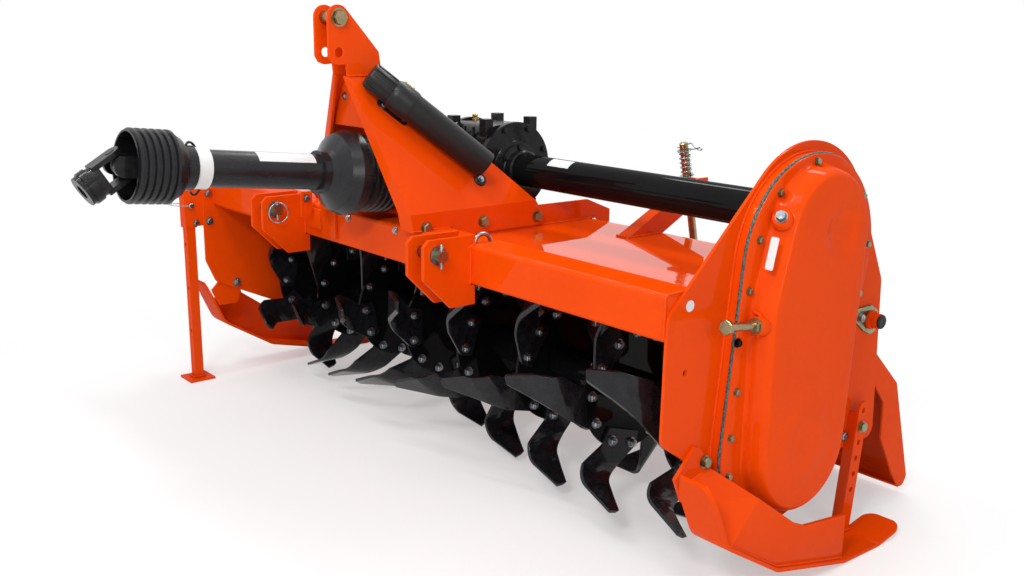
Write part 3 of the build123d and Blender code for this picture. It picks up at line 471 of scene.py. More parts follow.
def bolts(name, made_of, spots, head, height, washer, collar, stub=0.0, body="frame"):
    """Chamfered hex heads on washers, seated at (place, direction); a stub stands past a nut."""
    mesh = bmesh.new()
    for spot, axis in spots:
        spot, axis = Vector(spot), Vector(axis).normalized()
        chamfer = collar + height * 0.75
        add_disc(mesh, spot, axis, washer, collar, 24)
        add_disc(mesh, spot + axis * collar, axis, head, height * 0.75, 6)
        add_disc(mesh, spot + axis * chamfer, axis, head, height * 0.25, 6, head * 0.86)
        if stub:
            add_disc(mesh, spot + axis * (collar + height), axis, head * 0.52, stub, 12, head * 0.44)
    return piece(name, mesh, made_of, 25.0, body)


def plate(name, outline, spot, normal, across, thickness, made_of, holes=(), edge=0.8):
    """Flat plate from (across, up) points, with round holes, its back at a place."""
    normal, across = Vector(normal).normalized(), Vector(across).normalized()
    basis = Matrix((across, normal.cross(across), normal)).transposed().to_4x4()
    mesh = bmesh.new()
    corners = [mesh.verts.new((u * MM, v * MM, 0)) for u, v in outline]
    rings = [mesh.edges.new(pair) for pair in zip(corners, corners[1:] + corners[:1])]
    for u, v, radius in holes:
        spot_matrix = Matrix.Translation((u * MM, v * MM, 0))
        ring = bmesh.ops.create_circle(mesh, segments=20, radius=radius * MM, matrix=spot_matrix)
        rings += {e for vert in ring["verts"] for e in vert.link_edges}
    bmesh.ops.triangle_fill(mesh, edges=rings, use_beauty=True, use_dissolve=True)
    push_new(mesh, bmesh.ops.extrude_face_region(mesh, geom=list(mesh.faces)), UP * thickness)
    if edge:
        soften(mesh, edge, 50.0)
    bmesh.ops.transform(mesh, matrix=Matrix.Translation(at(*spot)) @ basis, verts=mesh.verts)
    return piece(name, mesh, made_of)


def rounded(corners, radius, steps=5):
    """Outline points with each corner rounded."""
    points = []
    for i, here in enumerate(corners):
        here = Vector(here)
        before = (Vector(corners[i - 1]) - here).normalized()
        after = (Vector(corners[(i + 1) % len(corners)]) - here).normalized()
        half = before.angle(after) / 2
        reach = radius / tan(half)
        centre = here + (before + after).normalized() * radius / sin(half)
        start, end = here + before * reach - centre, here + after * reach - centre
        for k in range(steps + 1):
            points.append(tuple(centre + start.lerp(end, k / steps).normalized() * radius))
    return points


def box_outline(width, height, radius):
    across, up = width / 2, height / 2
    return rounded([(-across, -up), (across, -up), (across, up), (-across, up)], radius)


def circle(x, y, z, radius, count, way, phase=0.0):
    """Seats round a circle on a face of constant x."""
    turns = [phase + 2 * pi * k / count for k in range(count)]
    return [((x, y + radius * cos(t), z + radius * sin(t)), way) for t in turns]


def both_sides(spots, left_shift=0.0):
    """Right-hand seats and the same ones mirrored to the left."""
    made = []
    for (x, y, z), way in spots:
        made += [((x, y, z), way), ((-x, y + left_shift, z), -way)]
    return made

# ---- camera, stage and light
CAMERA_AZIMUTH, CAMERA_HEIGHT, CAMERA_ROLL = radians(49.93), radians(13.78), radians(0.74)
camera_data = bpy.data.cameras.new("studio camera")
camera_data.sensor_width = 36.0
camera_data.lens = 37.42
camera_data.clip_end = 60.0
camera = new_object("studio camera", camera_data)
level_reach = cos(CAMERA_HEIGHT)
view = -Vector((sin(CAMERA_AZIMUTH) * level_reach, -cos(CAMERA_AZIMUTH) * level_reach, sin(CAMERA_HEIGHT)))
camera.rotation_mode = "QUATERNION"
roll = Matrix.Rotation(CAMERA_ROLL, 3, "Z").to_quaternion()
camera.rotation_quaternion = view.to_track_quat("-Z", "Y") @ roll
camera.location = at(2452.7, -1580.7, 1250.5)
bpy.context.scene.camera = camera
bpy.context.scene.view_settings.view_transform = "Standard"


def seen_rays(tree):
    """1 for rays that show the stage to the eye, in a mirror or through glass."""
    path = tree.nodes.new("ShaderNodeLightPath")
    total = path.outputs["Is Camera Ray"]
    for name in ("Is Glossy Ray", "Is Transmission Ray"):
        either = tree.nodes.new("ShaderNodeMath")
        either.operation = "MAXIMUM"
        tree.links.new(total, either.inputs[0])
        tree.links.new(path.outputs[name], either.inputs[1])
        total = either.outputs[0]
    return total


def stage_finish(name, level, near, far, least):
    """White floor that keeps the shadow near the machine and is plain white further out."""
    stage = Finish(name, Roughness=0.9, Specular_IOR_Level=0.1)
    stage.shader.inputs["Base Color"].default_value = (level, level, level, 1.0)
    away = stage.add("ShaderNodeVectorMath", {"operation": "LENGTH"}, stage.place)
    share = (away.between(near, far) * (1.0 - least) + least) * Signal(stage, seen_rays(stage.tree))
    glow = stage.add("ShaderNodeEmission", {}, (1.0, 1.0, 1.0, 1.0), 1.0)
    blend = stage.add("ShaderNodeMixShader", {}, share, Signal(stage, stage.shader.outputs[0]), glow)
    stage.tree.links.new(blend.socket, stage.tree.nodes["Material Output"].inputs["Surface"])
    return stage.material


floor_mesh = bmesh.new()
floor_place = Matrix.Translation((0, 0, cad_box[0].z))
bmesh.ops.create_grid(floor_mesh, x_segments=1, y_segments=1, size=14.0, matrix=floor_place)
floor_data = bpy.data.meshes.new("floor")
floor_mesh.to_mesh(floor_data)
floor_mesh.free()
floor_data.materials.append(stage_finish("floor white", 0.95, 1.1, 2.3, 0.4))
floor = new_object("floor", floor_data)
floor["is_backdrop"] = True

world = bpy.data.worlds.new("studio")
bpy.context.scene.world = world
world.use_nodes = True
sky = world.node_tree
background = sky.nodes["Background"]
level = sky.nodes.new("ShaderNodeMapRange")
level.inputs["To Min"].default_value = 0.5
level.inputs["To Max"].default_value = 1.0
sky.links.new(seen_rays(sky), level.inputs["Value"])
sky.links.new(level.outputs[0], background.inputs["Strength"])
background.inputs["Color"].default_value = (1, 1, 1, 1)

AIM = (cad_box[0] + cad_box[1]) / 2
# place, width and height, power
SOFTBOXES = {
    "key light": ((2.2, -3.0, 3.0), (0.9, 0.4), 66.0),
    "side light": ((4.4, -1.2, 1.8), (0.7, 1.6), 26.0),
    "front strip": ((0.3, -1.5, 3.3), (3.4, 0.05), 26.0),
    "middle strip": ((0.3, -1.15, 3.35), (3.4, 0.05), 26.0),
    "rear light": ((-0.4, 2.0, 3.6), (3.2, 0.5), 60.0),
}
for name, (place, size, power) in SOFTBOXES.items():
    lamp = bpy.data.lights.new(name, "AREA")
    lamp.shape = "RECTANGLE"
    lamp.size, lamp.size_y = size
    lamp.energy = power
    made = new_object(name, lamp)
    made.location = place
    made.rotation_mode = "QUATERNION"
    made.rotation_quaternion = (AIM - Vector(place)).to_track_quat("-Z", "Y")

# ---- rotor: a bolt with its washer and nut at every tine hole
FLANGES, TINES, HOLE_R = 8, 6, 150
FLANGE_TURN, FLANGE_STEP, TINE_STEP, HOLE_TURN = -2.5, 15, 60, 15
TINE_SIDE, BARE_SIDE = 14.1, 5.1
FIRST_FLANGE = LEFT_IN + 70.4
FLANGE_PITCH = (RIGHT_IN - 170.4 - FIRST_FLANGE) / (FLANGES - 1)
right_seats, left_seats = [], []
for i in range(FLANGES):
    flange_x = FIRST_FLANGE + i * FLANGE_PITCH
    phase = FLANGE_TURN + FLANGE_STEP * (FLANGES - 1 - i)
    for k in range(TINES):
        to_right = i == 0 or k % 2 == 0
        for offset in (-HOLE_TURN, HOLE_TURN):
            turn = radians(phase + k * TINE_STEP - 90 + offset)
            y, z = ROTOR.y - HOLE_R * sin(turn), ROTOR.z + HOLE_R * cos(turn)
            right_seats.append(((flange_x + (TINE_SIDE if to_right else BARE_SIDE), y, z), X_OUT))
            left_seats.append(((flange_x - (BARE_SIDE if to_right else TINE_SIDE), y, z), X_IN))
bolts("tine_nuts_right_side", BRIGHT, right_seats, 11.5, 10.5, 14, 2.6, 4, "rotor")
bolts("tine_bolt_heads_left_side", BRIGHT, left_seats, 11, 8, 13.5, 2.4, body="rotor")

# ---- gear case: sealing bead, weld and rim bolts
CASE_LOW, CASE_HIGH = low("gear_case"), high("gear_case")
TOP_R, FOOT_R = 236, 206
RIM_TOP = (CASE_HIGH.y - TOP_R, CASE_HIGH.z - TOP_R, TOP_R)
RIM_FOOT = (CASE_LOW.y + FOOT_R, CASE_LOW.z + FOOT_R, FOOT_R)
GASKET_X = middle("gear_case_gasket").x
FLANGE_FACE = GASKET_X + 8


def rim_outline(inset, count):
    """Points (y, z) evenly spaced round the gear case's outline, moved inwards."""
    (ya, za, ra), (yb, zb, rb) = RIM_TOP, RIM_FOOT
    lean = atan2(za - zb, ya - yb)
    half = acos((rb - ra) / dist((ya, za), (yb, zb)))
    line = []
    for y, z, radius, start, sweep in ((ya, za, ra, lean - half, half), (yb, zb, rb, lean + half, pi - half)):
        for i in range(181):
            turn = start + 2 * sweep * i / 180
            line.append((y + (radius - inset) * cos(turn), z + (radius - inset) * sin(turn)))
    return evenly(line + line[:1], count)


def rim_path(x, inset):
    return [(x, y, z) for y, z in rim_outline(inset, 240)]


bead("gear_case_sealing_bead", rim_path(GASKET_X, 1), 4.8, closed=True, made_of=SEALED, pitch=5)
bead("gear_case_weld", rim_path(RIGHT_OUT + 0.5, -1.5), 4, closed=True)
RIM_BOLTS = [
    (425, 974), (300, 915), (239, 820), (215, 712), (194, 491), (184, 387), (184, 298), (232, 204),
    (330, 158), (430, 167), (510, 222), (555, 312), (582, 420), (608, 530), (636, 645), (655, 762),
    (618, 880),
]
rim_heads = [((FLANGE_FACE, y, z), X_OUT) for y, z in RIM_BOLTS]
bolts("gear_case_rim_bolts", OLIVE, rim_heads, 7.5, 6, 9.5, 1.8)
rim_backs = [((GASKET_X - 2, y, z), X_IN) for y, z in rim_outline(7, len(RIM_BOLTS))]
bolts("gear_case_rim_nuts", OLIVE, rim_backs, 7, 5, 8.5, 1.5)

# ---- gear case: pressed cover
# rim, drafted wall with pockets at the bolts, rounded shoulder, crown with a dish and a boss


def hull_points(circles, grow, count):
    """Even points round the hull of circles (y, z, radius), starting at its top."""
    turns = [2 * pi * k / 240 for k in range(240)]
    cloud = sorted({
        (round(y + (r + grow) * cos(t), 4), round(z + (r + grow) * sin(t), 4))
        for y, z, r in circles
        for t in turns
    })
    hull = []
    for run in (cloud, cloud[::-1]):
        chain = []
        for y, z in run:
            while len(chain) > 1:
                (a, b), (c, d) = chain[-2:]
                if (c - a) * (z - b) - (d - b) * (y - a) > 0:
                    break
                chain.pop()
            chain.append((y, z))
        hull += chain[:-1]
    first = max(range(len(hull)), key=lambda k: hull[k][1])
    return evenly(hull[first:] + hull[: first + 1], count)


def smooth(value):
    value = min(1, max(0, value))
    return value * value * (3 - 2 * value)


def between_lines(first, second, share):
    return [(a + (c - a) * share, b + (d - b) * share) for (a, b), (c, d) in zip(first, second)]


# circles (y, z, radius) whose hull is the crown's outline, and how far its foot stands outside
CROWN = [(427, 811, 137), (385, 650, 140), (392, 333, 145)]
CROWN_DEPTH, CROWN_FOOT, LIFT_FROM = 54, 21, 40
POCKET_R, POCKET_PULL = 19, 0.8
# middles (y, z) of the dish near the crown's top and of the boss over the rotor's bearing
DISH, BOSS = (462, 818), (372, 345)
SHOULDER = (
    (0, -0.22), (0.8, -0.08), (3.5, 0.04), (10, 0.10), (22, 0.20), (32, 0.32),
    (40, 0.46), (46, 0.62), (50, 0.78), (52.8, 0.93), (CROWN_DEPTH, 1.12),
)
COUNT = 300


def nearest(spots, place):
    return min(spots, key=lambda spot: dist(spot, place))


def pocketed(y, z):
    """A point of the crown's foot, pushed away from the nearest bolt."""
    a, b = nearest(RIM_BOLTS, (y, z))
    reach = dist((a, b), (y, z))
    pull = max(0, POCKET_R - reach) * POCKET_PULL / max(reach, 1)
    return y + (y - a) * pull, z + (z - b) * pull


def spine(y, z):
    """Nearest point on the cover's middle line."""
    spots = []
    for (a, b, _), (c, d, _) in zip(CROWN, CROWN[1:]):
        share = ((y - a) * (c - a) + (z - b) * (d - b)) / ((c - a) ** 2 + (d - b) ** 2)
        share = min(1, max(0, share))
        spots.append((a + (c - a) * share, b + (d - b) * share))
    return nearest(spots, (y, z))


def cover_place(depth, y, z):
    """A place on the cover, with a soft dish and a soft boss in the crown."""
    from_dish, from_boss = dist(DISH, (y, z)), dist(BOSS, (y, z))
    lift = 5 * smooth((112 - from_boss) / 46) - 2.2 * smooth((64 - from_boss) / 14)
    lift -= 8 * smooth((66 - from_dish) / 32)
    return at(FLANGE_FACE + depth + lift * smooth((depth - LIFT_FROM) / (CROWN_DEPTH - LIFT_FROM)), y, z)


rim_line = hull_points([RIM_TOP, RIM_FOOT], 0, COUNT)
foot_line = hull_points(CROWN, CROWN_FOOT, COUNT)
crown_line = hull_points(CROWN, 0, COUNT)
pocket_line = [pocketed(y, z) for y, z in foot_line]
spine_line = [spine(y, z) for y, z in crown_line]
rings = [(-6.9, rim_line), (-1.2, rim_line), (-0.1, between_lines(rim_line, foot_line, 0.03))]
rings.append((0, between_lines(rim_line, pocket_line, 0.6)))
for depth, share in SHOULDER:
    wall = between_lines(pocket_line, foot_line, smooth((depth - 3) / 18) if depth > 4 else 0)
    rings.append((depth, between_lines(wall, crown_line, share)))
for k in range(10):
    rings.append((CROWN_DEPTH, between_lines(crown_line, spine_line, 0.2 + 0.08 * k)))
places = [[cover_place(depth, y, z) for y, z in line] for depth, line in rings]

cover = bmesh.new()
row = [cover.verts.new(place) for place in places[0]]
edges = [cover.edges.new(pair) for pair in zip(row, row[1:] + row[:1])]
bmesh.ops.contextual_create(cover, geom=edges)
for line in places[1:]:
    made = bmesh.ops.extrude_edge_only(cover, edges=edges)["geom"]
    fresh = {item for item in made if isinstance(item, bmesh.types.BMVert)}
    edges = [item for item in made if isinstance(item, bmesh.types.BMEdge) and set(item.verts) <= fresh]
    row = [next(e.other_vert(vert) for e in vert.link_edges if e.other_vert(vert) in fresh) for vert in row]
    for vert, place in zip(row, line):
        vert.co = place
bmesh.ops.triangle_fill(cover, edges=edges, use_beauty=True)
pressed = piece("gear_case_cover_pressed", cover, PAINTED, 50)
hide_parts("gear_case_cover")

# ---- gear case: plugs, chain tension bolt and blank label
boss_seat = Vector((FLANGE_FACE + 24, RIM_TOP[0] - 155, RIM_TOP[1] + 108))
boss_way = Vector((0.35, -0.78, 0.52)).normalized()
boss_profile = [(0, 0), (24, 0), (21, 14), (18.5, 17), (0, 17)]
turned("filler_boss", boss_seat, boss_way, boss_profile, PAINTED)
bolts("filler_plug", DULL, [(boss_seat + boss_way * 17, boss_way)], 12, 11, 13.5, 2)
bolts("level_plug", BLACKED, [((FLANGE_FACE, 186, 604), X_OUT)], 8, 7, 10.5, 2)

root, tip = Vector((1125.4, 215, 642)), Vector((1134, 97, 661))
pull, reach = (tip - root).normalized(), (tip - root).length
tension = bmesh.new()
add_turned(tension, root, pull, [(0, -10), (9.5, -10), (9.5, reach - 12), (0, reach - 12)], 32)
add_disc(tension, root + pull * (reach - 12), pull, 17, 10.5, 6)
add_disc(tension, root + pull * (reach - 1.5), pull, 17, 1.5, 6, 15)
add_disc(tension, root + pull * 10, pull, 16, 11, 6)
add_turned(tension, root + pull * 7, pull, sleeve(9.6, 17.5, 0, 3), 32)
tensioner = piece("chain_tensioner_bolt", tension, GOLDEN, 25)
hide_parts("chain_adjuster_bolt")
LUG_SEAM = ((9, 224, 668), (26, 224, 664), (40, 226, 642), (24, 224, 618), (9, 222, 616))
bead("adjuster_lug_weld", [(FLANGE_FACE + depth, y, z) for depth, y, z in LUG_SEAM], 4)
lug = bmesh.new()
add_disc(lug, root - pull * 22, pull, 24, 28, 24, 19)
soften(lug, 1.6)
piece("adjuster_lug", lug, PAINTED)
label_place = (FLANGE_FACE + 37.5, RIM_TOP[0] - 202, RIM_TOP[1] + 44)
label_out, label_along = (0.10, -0.98, 0.16), (0.05, 0.17, 0.98)
label_outline = box_outline(70, 19, 4)
plate("gear_case_label", label_outline, label_place, label_out, label_along, 0.7, BARE_LABEL, edge=0)

# ---- mast and hitch hardware
FOOT_FACE = high("mast_plate_right").x - HITCH_X
FOOT_HOLES = ((17, TUBE_TOP + 7), (208, TUBE_TOP + 5), (404, TUBE_TOP - 1))


def foot_seats(reach, way, holes):
    """Seats on both mast feet at a reach from the hitch's middle, facing out (1) or in (-1)."""
    return [((HITCH_X + sign * reach, y, z), (sign * way, 0, 0)) for sign in (1, -1) for y, z in holes]


bolts("mast_foot_bolts", GOLDEN, foot_seats(FOOT_FACE, 1, FOOT_HOLES), 15, 10, 17, 3)
foot_backs = foot_seats(FOOT_FACE - 16.4, -1, FOOT_HOLES[1:])
bolts("mast_foot_nuts", GOLDEN, foot_backs, 14, 11, 16.5, 3, 7)

_, top_y, top_z = middle("top_hitch_bolt")
HEAD_RIGHT, HEAD_LEFT = high("hitch_head_right").x, low("hitch_head_left").x
collars = bmesh.new()
add_turned(collars, (HEAD_LEFT, top_y, top_z), X_IN, sleeve(13, 22, 0, 3))
add_turned(collars, (HEAD_RIGHT, top_y, top_z), X_OUT, sleeve(19, 24, -0.2, 2.6))
piece("top_bolt_washers", collars, GOLDEN)
nut = bmesh.new()
add_disc(nut, (HEAD_LEFT - 3, top_y, top_z), X_IN, 20, 15, 6)
soften(nut, 1.5)
piece("top_bolt_nut", nut, GOLDEN)

LINCH_PIN = [(0, 0), (7, 0), (7.5, 3), (7.5, 10), (4.6, 12), (4.6, 52), (3, 56), (0, 56)]
ROLL_PIN = [(0, 0), (3.6, 0), (4.6, 2), (4.6, 58), (3.6, 60), (0, 60)]
for side, _ in SIDES:
    pin, clevis = "hitch_pin_" + side, "hitch_clevis_" + side
    _, pin_y, pin_z = middle(pin)
    washers = bmesh.new()
    for face, way in ((high(clevis).x, X_OUT), (low(clevis).x, X_IN)):
        add_turned(washers, (face, pin_y, pin_z), way, sleeve(14.4, 24, 0.1, 3.4))
    add_disc(washers, (low(pin).x, pin_y, pin_z), X_IN, 19, 9, 6, 17)
    piece("hitch_pin_washers_" + side, washers, BRIGHT)
    cross_x = high(pin).x - 9
    if side == "left":
        turns = [2 * pi * k / 16 for k in range(16)]
        ring = [(cross_x + 6 + 3 * sin(t), pin_y + 30 * sin(t), pin_z - 8 + 30 * cos(t)) for t in turns]
        wire("linch_pin_ring_left", ring, 2.2, BRIGHT, closed=True, resolution=5)
        turned("linch_pin_left", (cross_x, pin_y, pin_z + 26), -UP, LINCH_PIN, BRIGHT, 24)
    else:
        turned("roll_pin_right", (cross_x, pin_y, pin_z + 30), -UP, ROLL_PIN, BRIGHT, 24)
    # welds along the clevis plates, on the tube
    for number, face in enumerate((low(clevis).x, high(clevis).x)):
        seam = [(face, -1.5, TUBE_UNDER + 4), (face, -1.5, TUBE_TOP - 4), (face, 12, TUBE_TOP + 1)]
        bead("clevis_weld_%s_%d" % (side, number), seam, 3.6)

for side, loop_x in (("right", 407), ("left", -450)):
    turns = [pi * k / 8 for k in range(9)]
    arch = [(loop_x, 16 + 26 * (1 - cos(t)), TUBE_TOP - 2 + 24 * sin(t)) for t in turns]
    wire("hose_loop_" + side, arch, 5.5, BRIGHT)

# brackets on the tube's front face: name, x from and to, z from and to
BRACKETS = (("inner", -303, -222, 640, 726), ("outer", -390, -306, 656, 716))
for name, x0, x1, z0, z1 in BRACKETS:
    outline = rounded([(x0, z0), (x1, z0), (x1, z1), (x0, z1)], 5)
    plate("tube_bracket_" + name, outline, (0, 0.3, 0), FRONT, X_OUT, 9, PAINTED, edge=1.4)
outline = rounded([(-8, 690), (-8, 768), (-46, 768), (-46, 690)], 7)
plate("tube_bracket_tab", outline, (-352, -4, 0), X_OUT, REAR, 8, PAINTED, ((-28, 748, 7),))
bolts("tube_bracket_bolt", BRIGHT, [((-344, -32, 748), X_OUT)], 9, 7, 12, 2)

# ---- skids: bolts, nuts and spacers
SKID_SHIFT = low("skid_side_plate_left").y - low("skid_side_plate_right").y
EAR_FACE, STRAP_FACE = RIGHT_OUT + 9.3, high("skid_strap_right").x
# bolt places (y, z): in the skid's ear, through the strap and at the strap's seat
EAR, STRAP, SEAT = (129, 340), (712.5, 287), (676, 262)


def skid_seats(x, way, *spots):
    """Seats (y, z) at the skids on both sides."""
    return both_sides([((x, y, z), way) for y, z in spots], SKID_SHIFT)


bolts("skid_ear_bolts", OLIVE, skid_seats(EAR_FACE, X_OUT, EAR), 13, 9, 15, 3)
bolts("skid_ear_nuts", BRIGHT, skid_seats(RIGHT_IN, X_IN, EAR), 13, 10, 15, 3, 5)
bolts("skid_strap_bolts", OLIVE, skid_seats(STRAP_FACE, X_OUT, STRAP), 13, 9, 14.5, 3)
bolts("strap_seat_bolts", BRIGHT, skid_seats(RIGHT_OUT, X_OUT, SEAT), 12, 8, 14, 3, 3)
spacers = bmesh.new()
for spot, way in skid_seats(RIGHT_OUT, X_OUT, STRAP):
    add_turned(spacers, spot, way, sleeve(7.6, 12, 0.1, 20.2), 24)
piece("strap_spacers", spacers, BRIGHT)
bolts("strap_nuts", BRIGHT, skid_seats(RIGHT_IN, X_IN, STRAP, SEAT), 12, 10, 14.5, 3, 5)

# ---- tailgate pivot: retainer plates, end caps and collars
_, pivot_y, pivot_z = middle("tailgate_pivot_tube")
RETAINER = [(-70, 36), (2, 36), (34, 18), (30, -34), (6, -40), (-24, -26), (-70, 8)]
for side, sign in SIDES:
    outline = rounded(RETAINER if sign > 0 else [(-u, v) for u, v in reversed(RETAINER)], 8, 4)
    place, hole = (sign * (RIGHT_OUT + 0.2), pivot_y, pivot_z), ((0, 0, 19.6),)
    plate("pivot_retainer_" + side, outline, place, (sign, 0, 0), REAR * sign, 6, OLIVE_PLATE, hole)
retainer_seats = both_sides([((RIGHT_OUT + 6.2, pivot_y - 46, pivot_z + 12), X_OUT)])
bolts("pivot_retainer_bolts", BRIGHT, retainer_seats, 10.5, 9, 13, 2.5, 2)
CAP = [(0, 0.1), (17.4, 0.1), (18.2, 2), (17.6, 5), (15, 7), (13, 7.2), (12, 6.2), (0, 6)]
COLLAR = [(19.2, 0), (23.5, 0), (24, 1.5), (24, 8), (23, 9.5), (19.2, 9.5), (19.2, 0)]
tube_ends = (high("tailgate_pivot_tube").x, low("tailgate_pivot_tube").x)
collar_ends = (RIGHT_OUT + 6.4, LEFT_OUT - 6.4)
PAIRS = (("pivot_tube_caps", tube_ends, CAP, END_CAP), ("pivot_collars", collar_ends, COLLAR, PAINTED))
for name, faces, profile, made_of in PAIRS:
    pair = bmesh.new()
    for x, way in zip(faces, (X_OUT, X_IN)):
        add_turned(pair, (x, pivot_y, pivot_z), way, profile, 40)
    piece(name, pair, made_of, body="tailgate")

# ---- stand: pin with its wire, bracket bolts and foot weld
bracket_x = middle("stand_bracket").x
BRACKET_FACE = high("stand_bracket").x
half = BRACKET_FACE - bracket_x
grip = Vector((bracket_x, middle("stand_leg").y, 634))
through = 2 * half
STAND_PIN = [
    (0, 0), (5, 1), (6.3, 4), (6.3, through + 22),
    (9.5, through + 22.2), (9.5, through + 28), (7, through + 31), (0, through + 31),
]
turned("stand_pin", grip - X_OUT * (half + 16), X_OUT, STAND_PIN, BRIGHT, 24)
BAIL = (
    (half + 12, 0, 0), (half + 14, -30, 2), (half + 4, -62, 6), (0, -74, 9),
    (-half - 6, -60, 6), (-half - 13, -28, 2), (-half - 11, 4, 0),
)
wire("stand_pin_wire", [grip + Vector(step) for step in BAIL], 1.5, BRIGHT, resolution=8)
bracket_faces = ((LEFT_IN, X_OUT), (LEFT_OUT - 8.2, X_IN))
bracket_seats = [((x, -22, z), way) for x, way in bracket_faces for z in (574, 672)]
bolts("stand_bracket_bolts", BRIGHT, bracket_seats, 11, 8.5, 13.5, 2.6)
grip_seat = (BRACKET_FACE, grip.y + 18, 571)
bolts("stand_grip_bolt", BRIGHT, [(grip_seat, X_OUT)], 9, 7, 11, 2)
corners = [(21, 21), (-21, 21), (-21, -21), (21, -21)]
foot_seam = [(grip.x + across, grip.y + back, 12.5) for across, back in corners]
bead("stand_foot_weld", foot_seam, 3.2, "stand_leg", closed=True)

# ---- spring rods: turned rod, coil spring, washers and hairpin
EYE_Y, EYE_Z = 850, 470
EYE_BARREL = [(0, 0), (16, 0), (18, 2), (18, 26), (16, 28), (0, 28)]
EYE_PIN = [(0, 0), (6.5, 0), (8, 1.5), (8, 52.5), (6.5, 54), (0, 54)]
COILS, COIL_STEPS, COIL_R = 5, 12, 15.4
# hairpin: along the rod, out from its axis and round it
HAIRPIN = (
    (0, -24, 0), (0, 10, 0), (0, 34, 0), (5, 52, 0), (9, 62, 0), (3, 68, 0),
    (-1, 58, 0), (6, 40, 0), (13, 22, 0.9), (8, 13, 1.3), (2, -4, 1.7),
)
for side, _ in SIDES:
    node = "spring_rod_" + side
    eye = Vector((middle(node).x, EYE_Y, EYE_Z))
    run = Vector((eye.x, 767, 828)) - eye
    guide_at = run.length
    run.normalize()
    third = run.cross(X_OUT)
    length = (938 - eye.z) / run.z - 12.2
    start, span = guide_at + 16, 72

    def along(distance, out=0, turn=0):
        """A place along the rod, out from its axis and round it."""
        return eye + run * distance + (X_OUT * cos(turn) + third * sin(turn)) * out

    rod = bmesh.new()
    stem = [
        (0, 0), (11.5, 0), (11.5, guide_at - 60), (12.4, guide_at - 58),
        (12.4, length - 2.8), (10, length), (0, length),
    ]
    add_turned(rod, along(12), run, stem, 40)
    add_turned(rod, eye - X_OUT * 14, X_OUT, EYE_BARREL, 40)
    add_turned(rod, eye - X_OUT * 27, X_OUT, EYE_PIN, 32)
    made = piece(node + "_turned", rod, GOLDEN, body=node)
    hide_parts(node)
    washers = bmesh.new()
    for distance, thick in ((start - 2.5, 2.5), (start + span, 3)):
        edge = [(20, 0), (21, 0.8), (21, thick - 0.8), (20, thick)]
        add_turned(washers, along(distance), run, [(12.7, 0), *edge, (12.7, thick), (12.7, 0)], 40)
    piece(node + "_washers", washers, BRIGHT, body=node)
    steps = COILS * COIL_STEPS
    rise = (span - 5.2) / steps
    coil = [along(start + 2.6 + rise * k, COIL_R, 2 * pi * k / COIL_STEPS) for k in range(steps + 1)]
    wire("rod_spring_" + side, coil, 2.4, BRIGHT, node, resolution=3)
    pin_at = start + span + 8
    hairpin = [along(pin_at + distance, out, turn) for distance, out, turn in HAIRPIN]
    wire("rod_hairpin_" + side, hairpin, 1.7, BRIGHT, node, resolution=8)
lug_seats = [((x + sign * 23.2, EYE_Y, EYE_Z), (sign, 0, 0)) for x in (440, -516) for sign in (1, -1)]
bolts("rod_lug_nuts", BRIGHT, lug_seats, 9, 2.2, 12, 1.4, body="tailgate")

# ---- gearbox: cover bolts, ears, hubs, breather, plug and ribs
BOX, CROSS = middle("gearbox_cover_right"), middle("cross_tube")
COVER_RIGHT, COVER_LEFT = high("gearbox_cover_right").x, low("gearbox_cover_left").x
EAR_RING = (BOX.y, BOX.z, 114, 8)
cover_seats = circle(COVER_RIGHT, *EAR_RING, X_OUT, pi / 8) + circle(COVER_LEFT + 18, *EAR_RING, X_IN, pi / 8)
bolts("gearbox_cover_bolts", CAST, cover_seats, 8.5, 6.5, 10.5, 1.6)
inner_ring = circle(low("cross_tube").x + 14, CROSS.y, CROSS.z, 63, 6, X_OUT, pi / 6)
outer_ring = circle(RIGHT_IN - 14.4, CROSS.y, CROSS.z, 60, 6, X_IN, pi / 6)
bolts("cross_tube_bolts", CAST, inner_ring + outer_ring, 6, 5, 7.4, 1.2)
ears = bmesh.new()
for spot, way in circle(COVER_RIGHT - 13, *EAR_RING, X_OUT, pi / 8):
    add_turned(ears, spot, way, [(0, 0), (14, 0), (14, 12), (12.5, 13.2), (0, 13.2)], 24)
piece("gearbox_cover_ears", ears, CAST)
CROSS_HUB = [
    (47, 0), (82, 0), (80, 3), (72, 4.5), (70.4, 14.2), (60, 15),
    (56.2, 18), (56.2, 40.2), (52, 44), (47, 44.4), (47, 0),
]
turned("cross_tube_hub", (COVER_RIGHT - 0.1, CROSS.y, CROSS.z), X_OUT, CROSS_HUB, CAST, 64)
LEFT_HUB = [(0, 0), (52, 0), (52, 2), (58, 3.2), (65, 3.6), (66.5, 6), (66.5, 15), (72, 18.2), (0, 18.2)]
turned("gearbox_cover_left_hub", (COVER_LEFT - 0.1, BOX.y, BOX.z), X_OUT, LEFT_HUB, CAST, 64)
BREATHER = [(0, 0), (9, 0), (9, 6), (5.5, 7), (5.5, 11), (8.5, 12), (9, 17), (6.5, 20), (0, 20)]
turned("gearbox_breather", (-120, BOX.y, 973), UP, BREATHER, BRASSY, 24)
bolts("gearbox_plug", BRIGHT, [((-109, 345, 962), (0, -0.5, 0.86))], 12, 9, 14, 2)
ribs = bmesh.new()
for offset in (-40, 0, 40):
    add_block(ribs, (HITCH_X + offset, BOX.y - 101, BOX.z + 70), Matrix.Identity(3), (7, 8, 90))
soften(ribs, 1.5)
piece("gearbox_ribs", ribs, CAST)
SADDLE_TOP = high("gearbox_saddle").z
saddle_seats = [
    ((HITCH_X + across * 112, BOX.y + back * 84, SADDLE_TOP), UP) for across in (1, -1) for back in (1, -1)
]
bolts("gearbox_foot_bolts", GOLDEN, saddle_seats, 13, 9, 15, 3, 4)

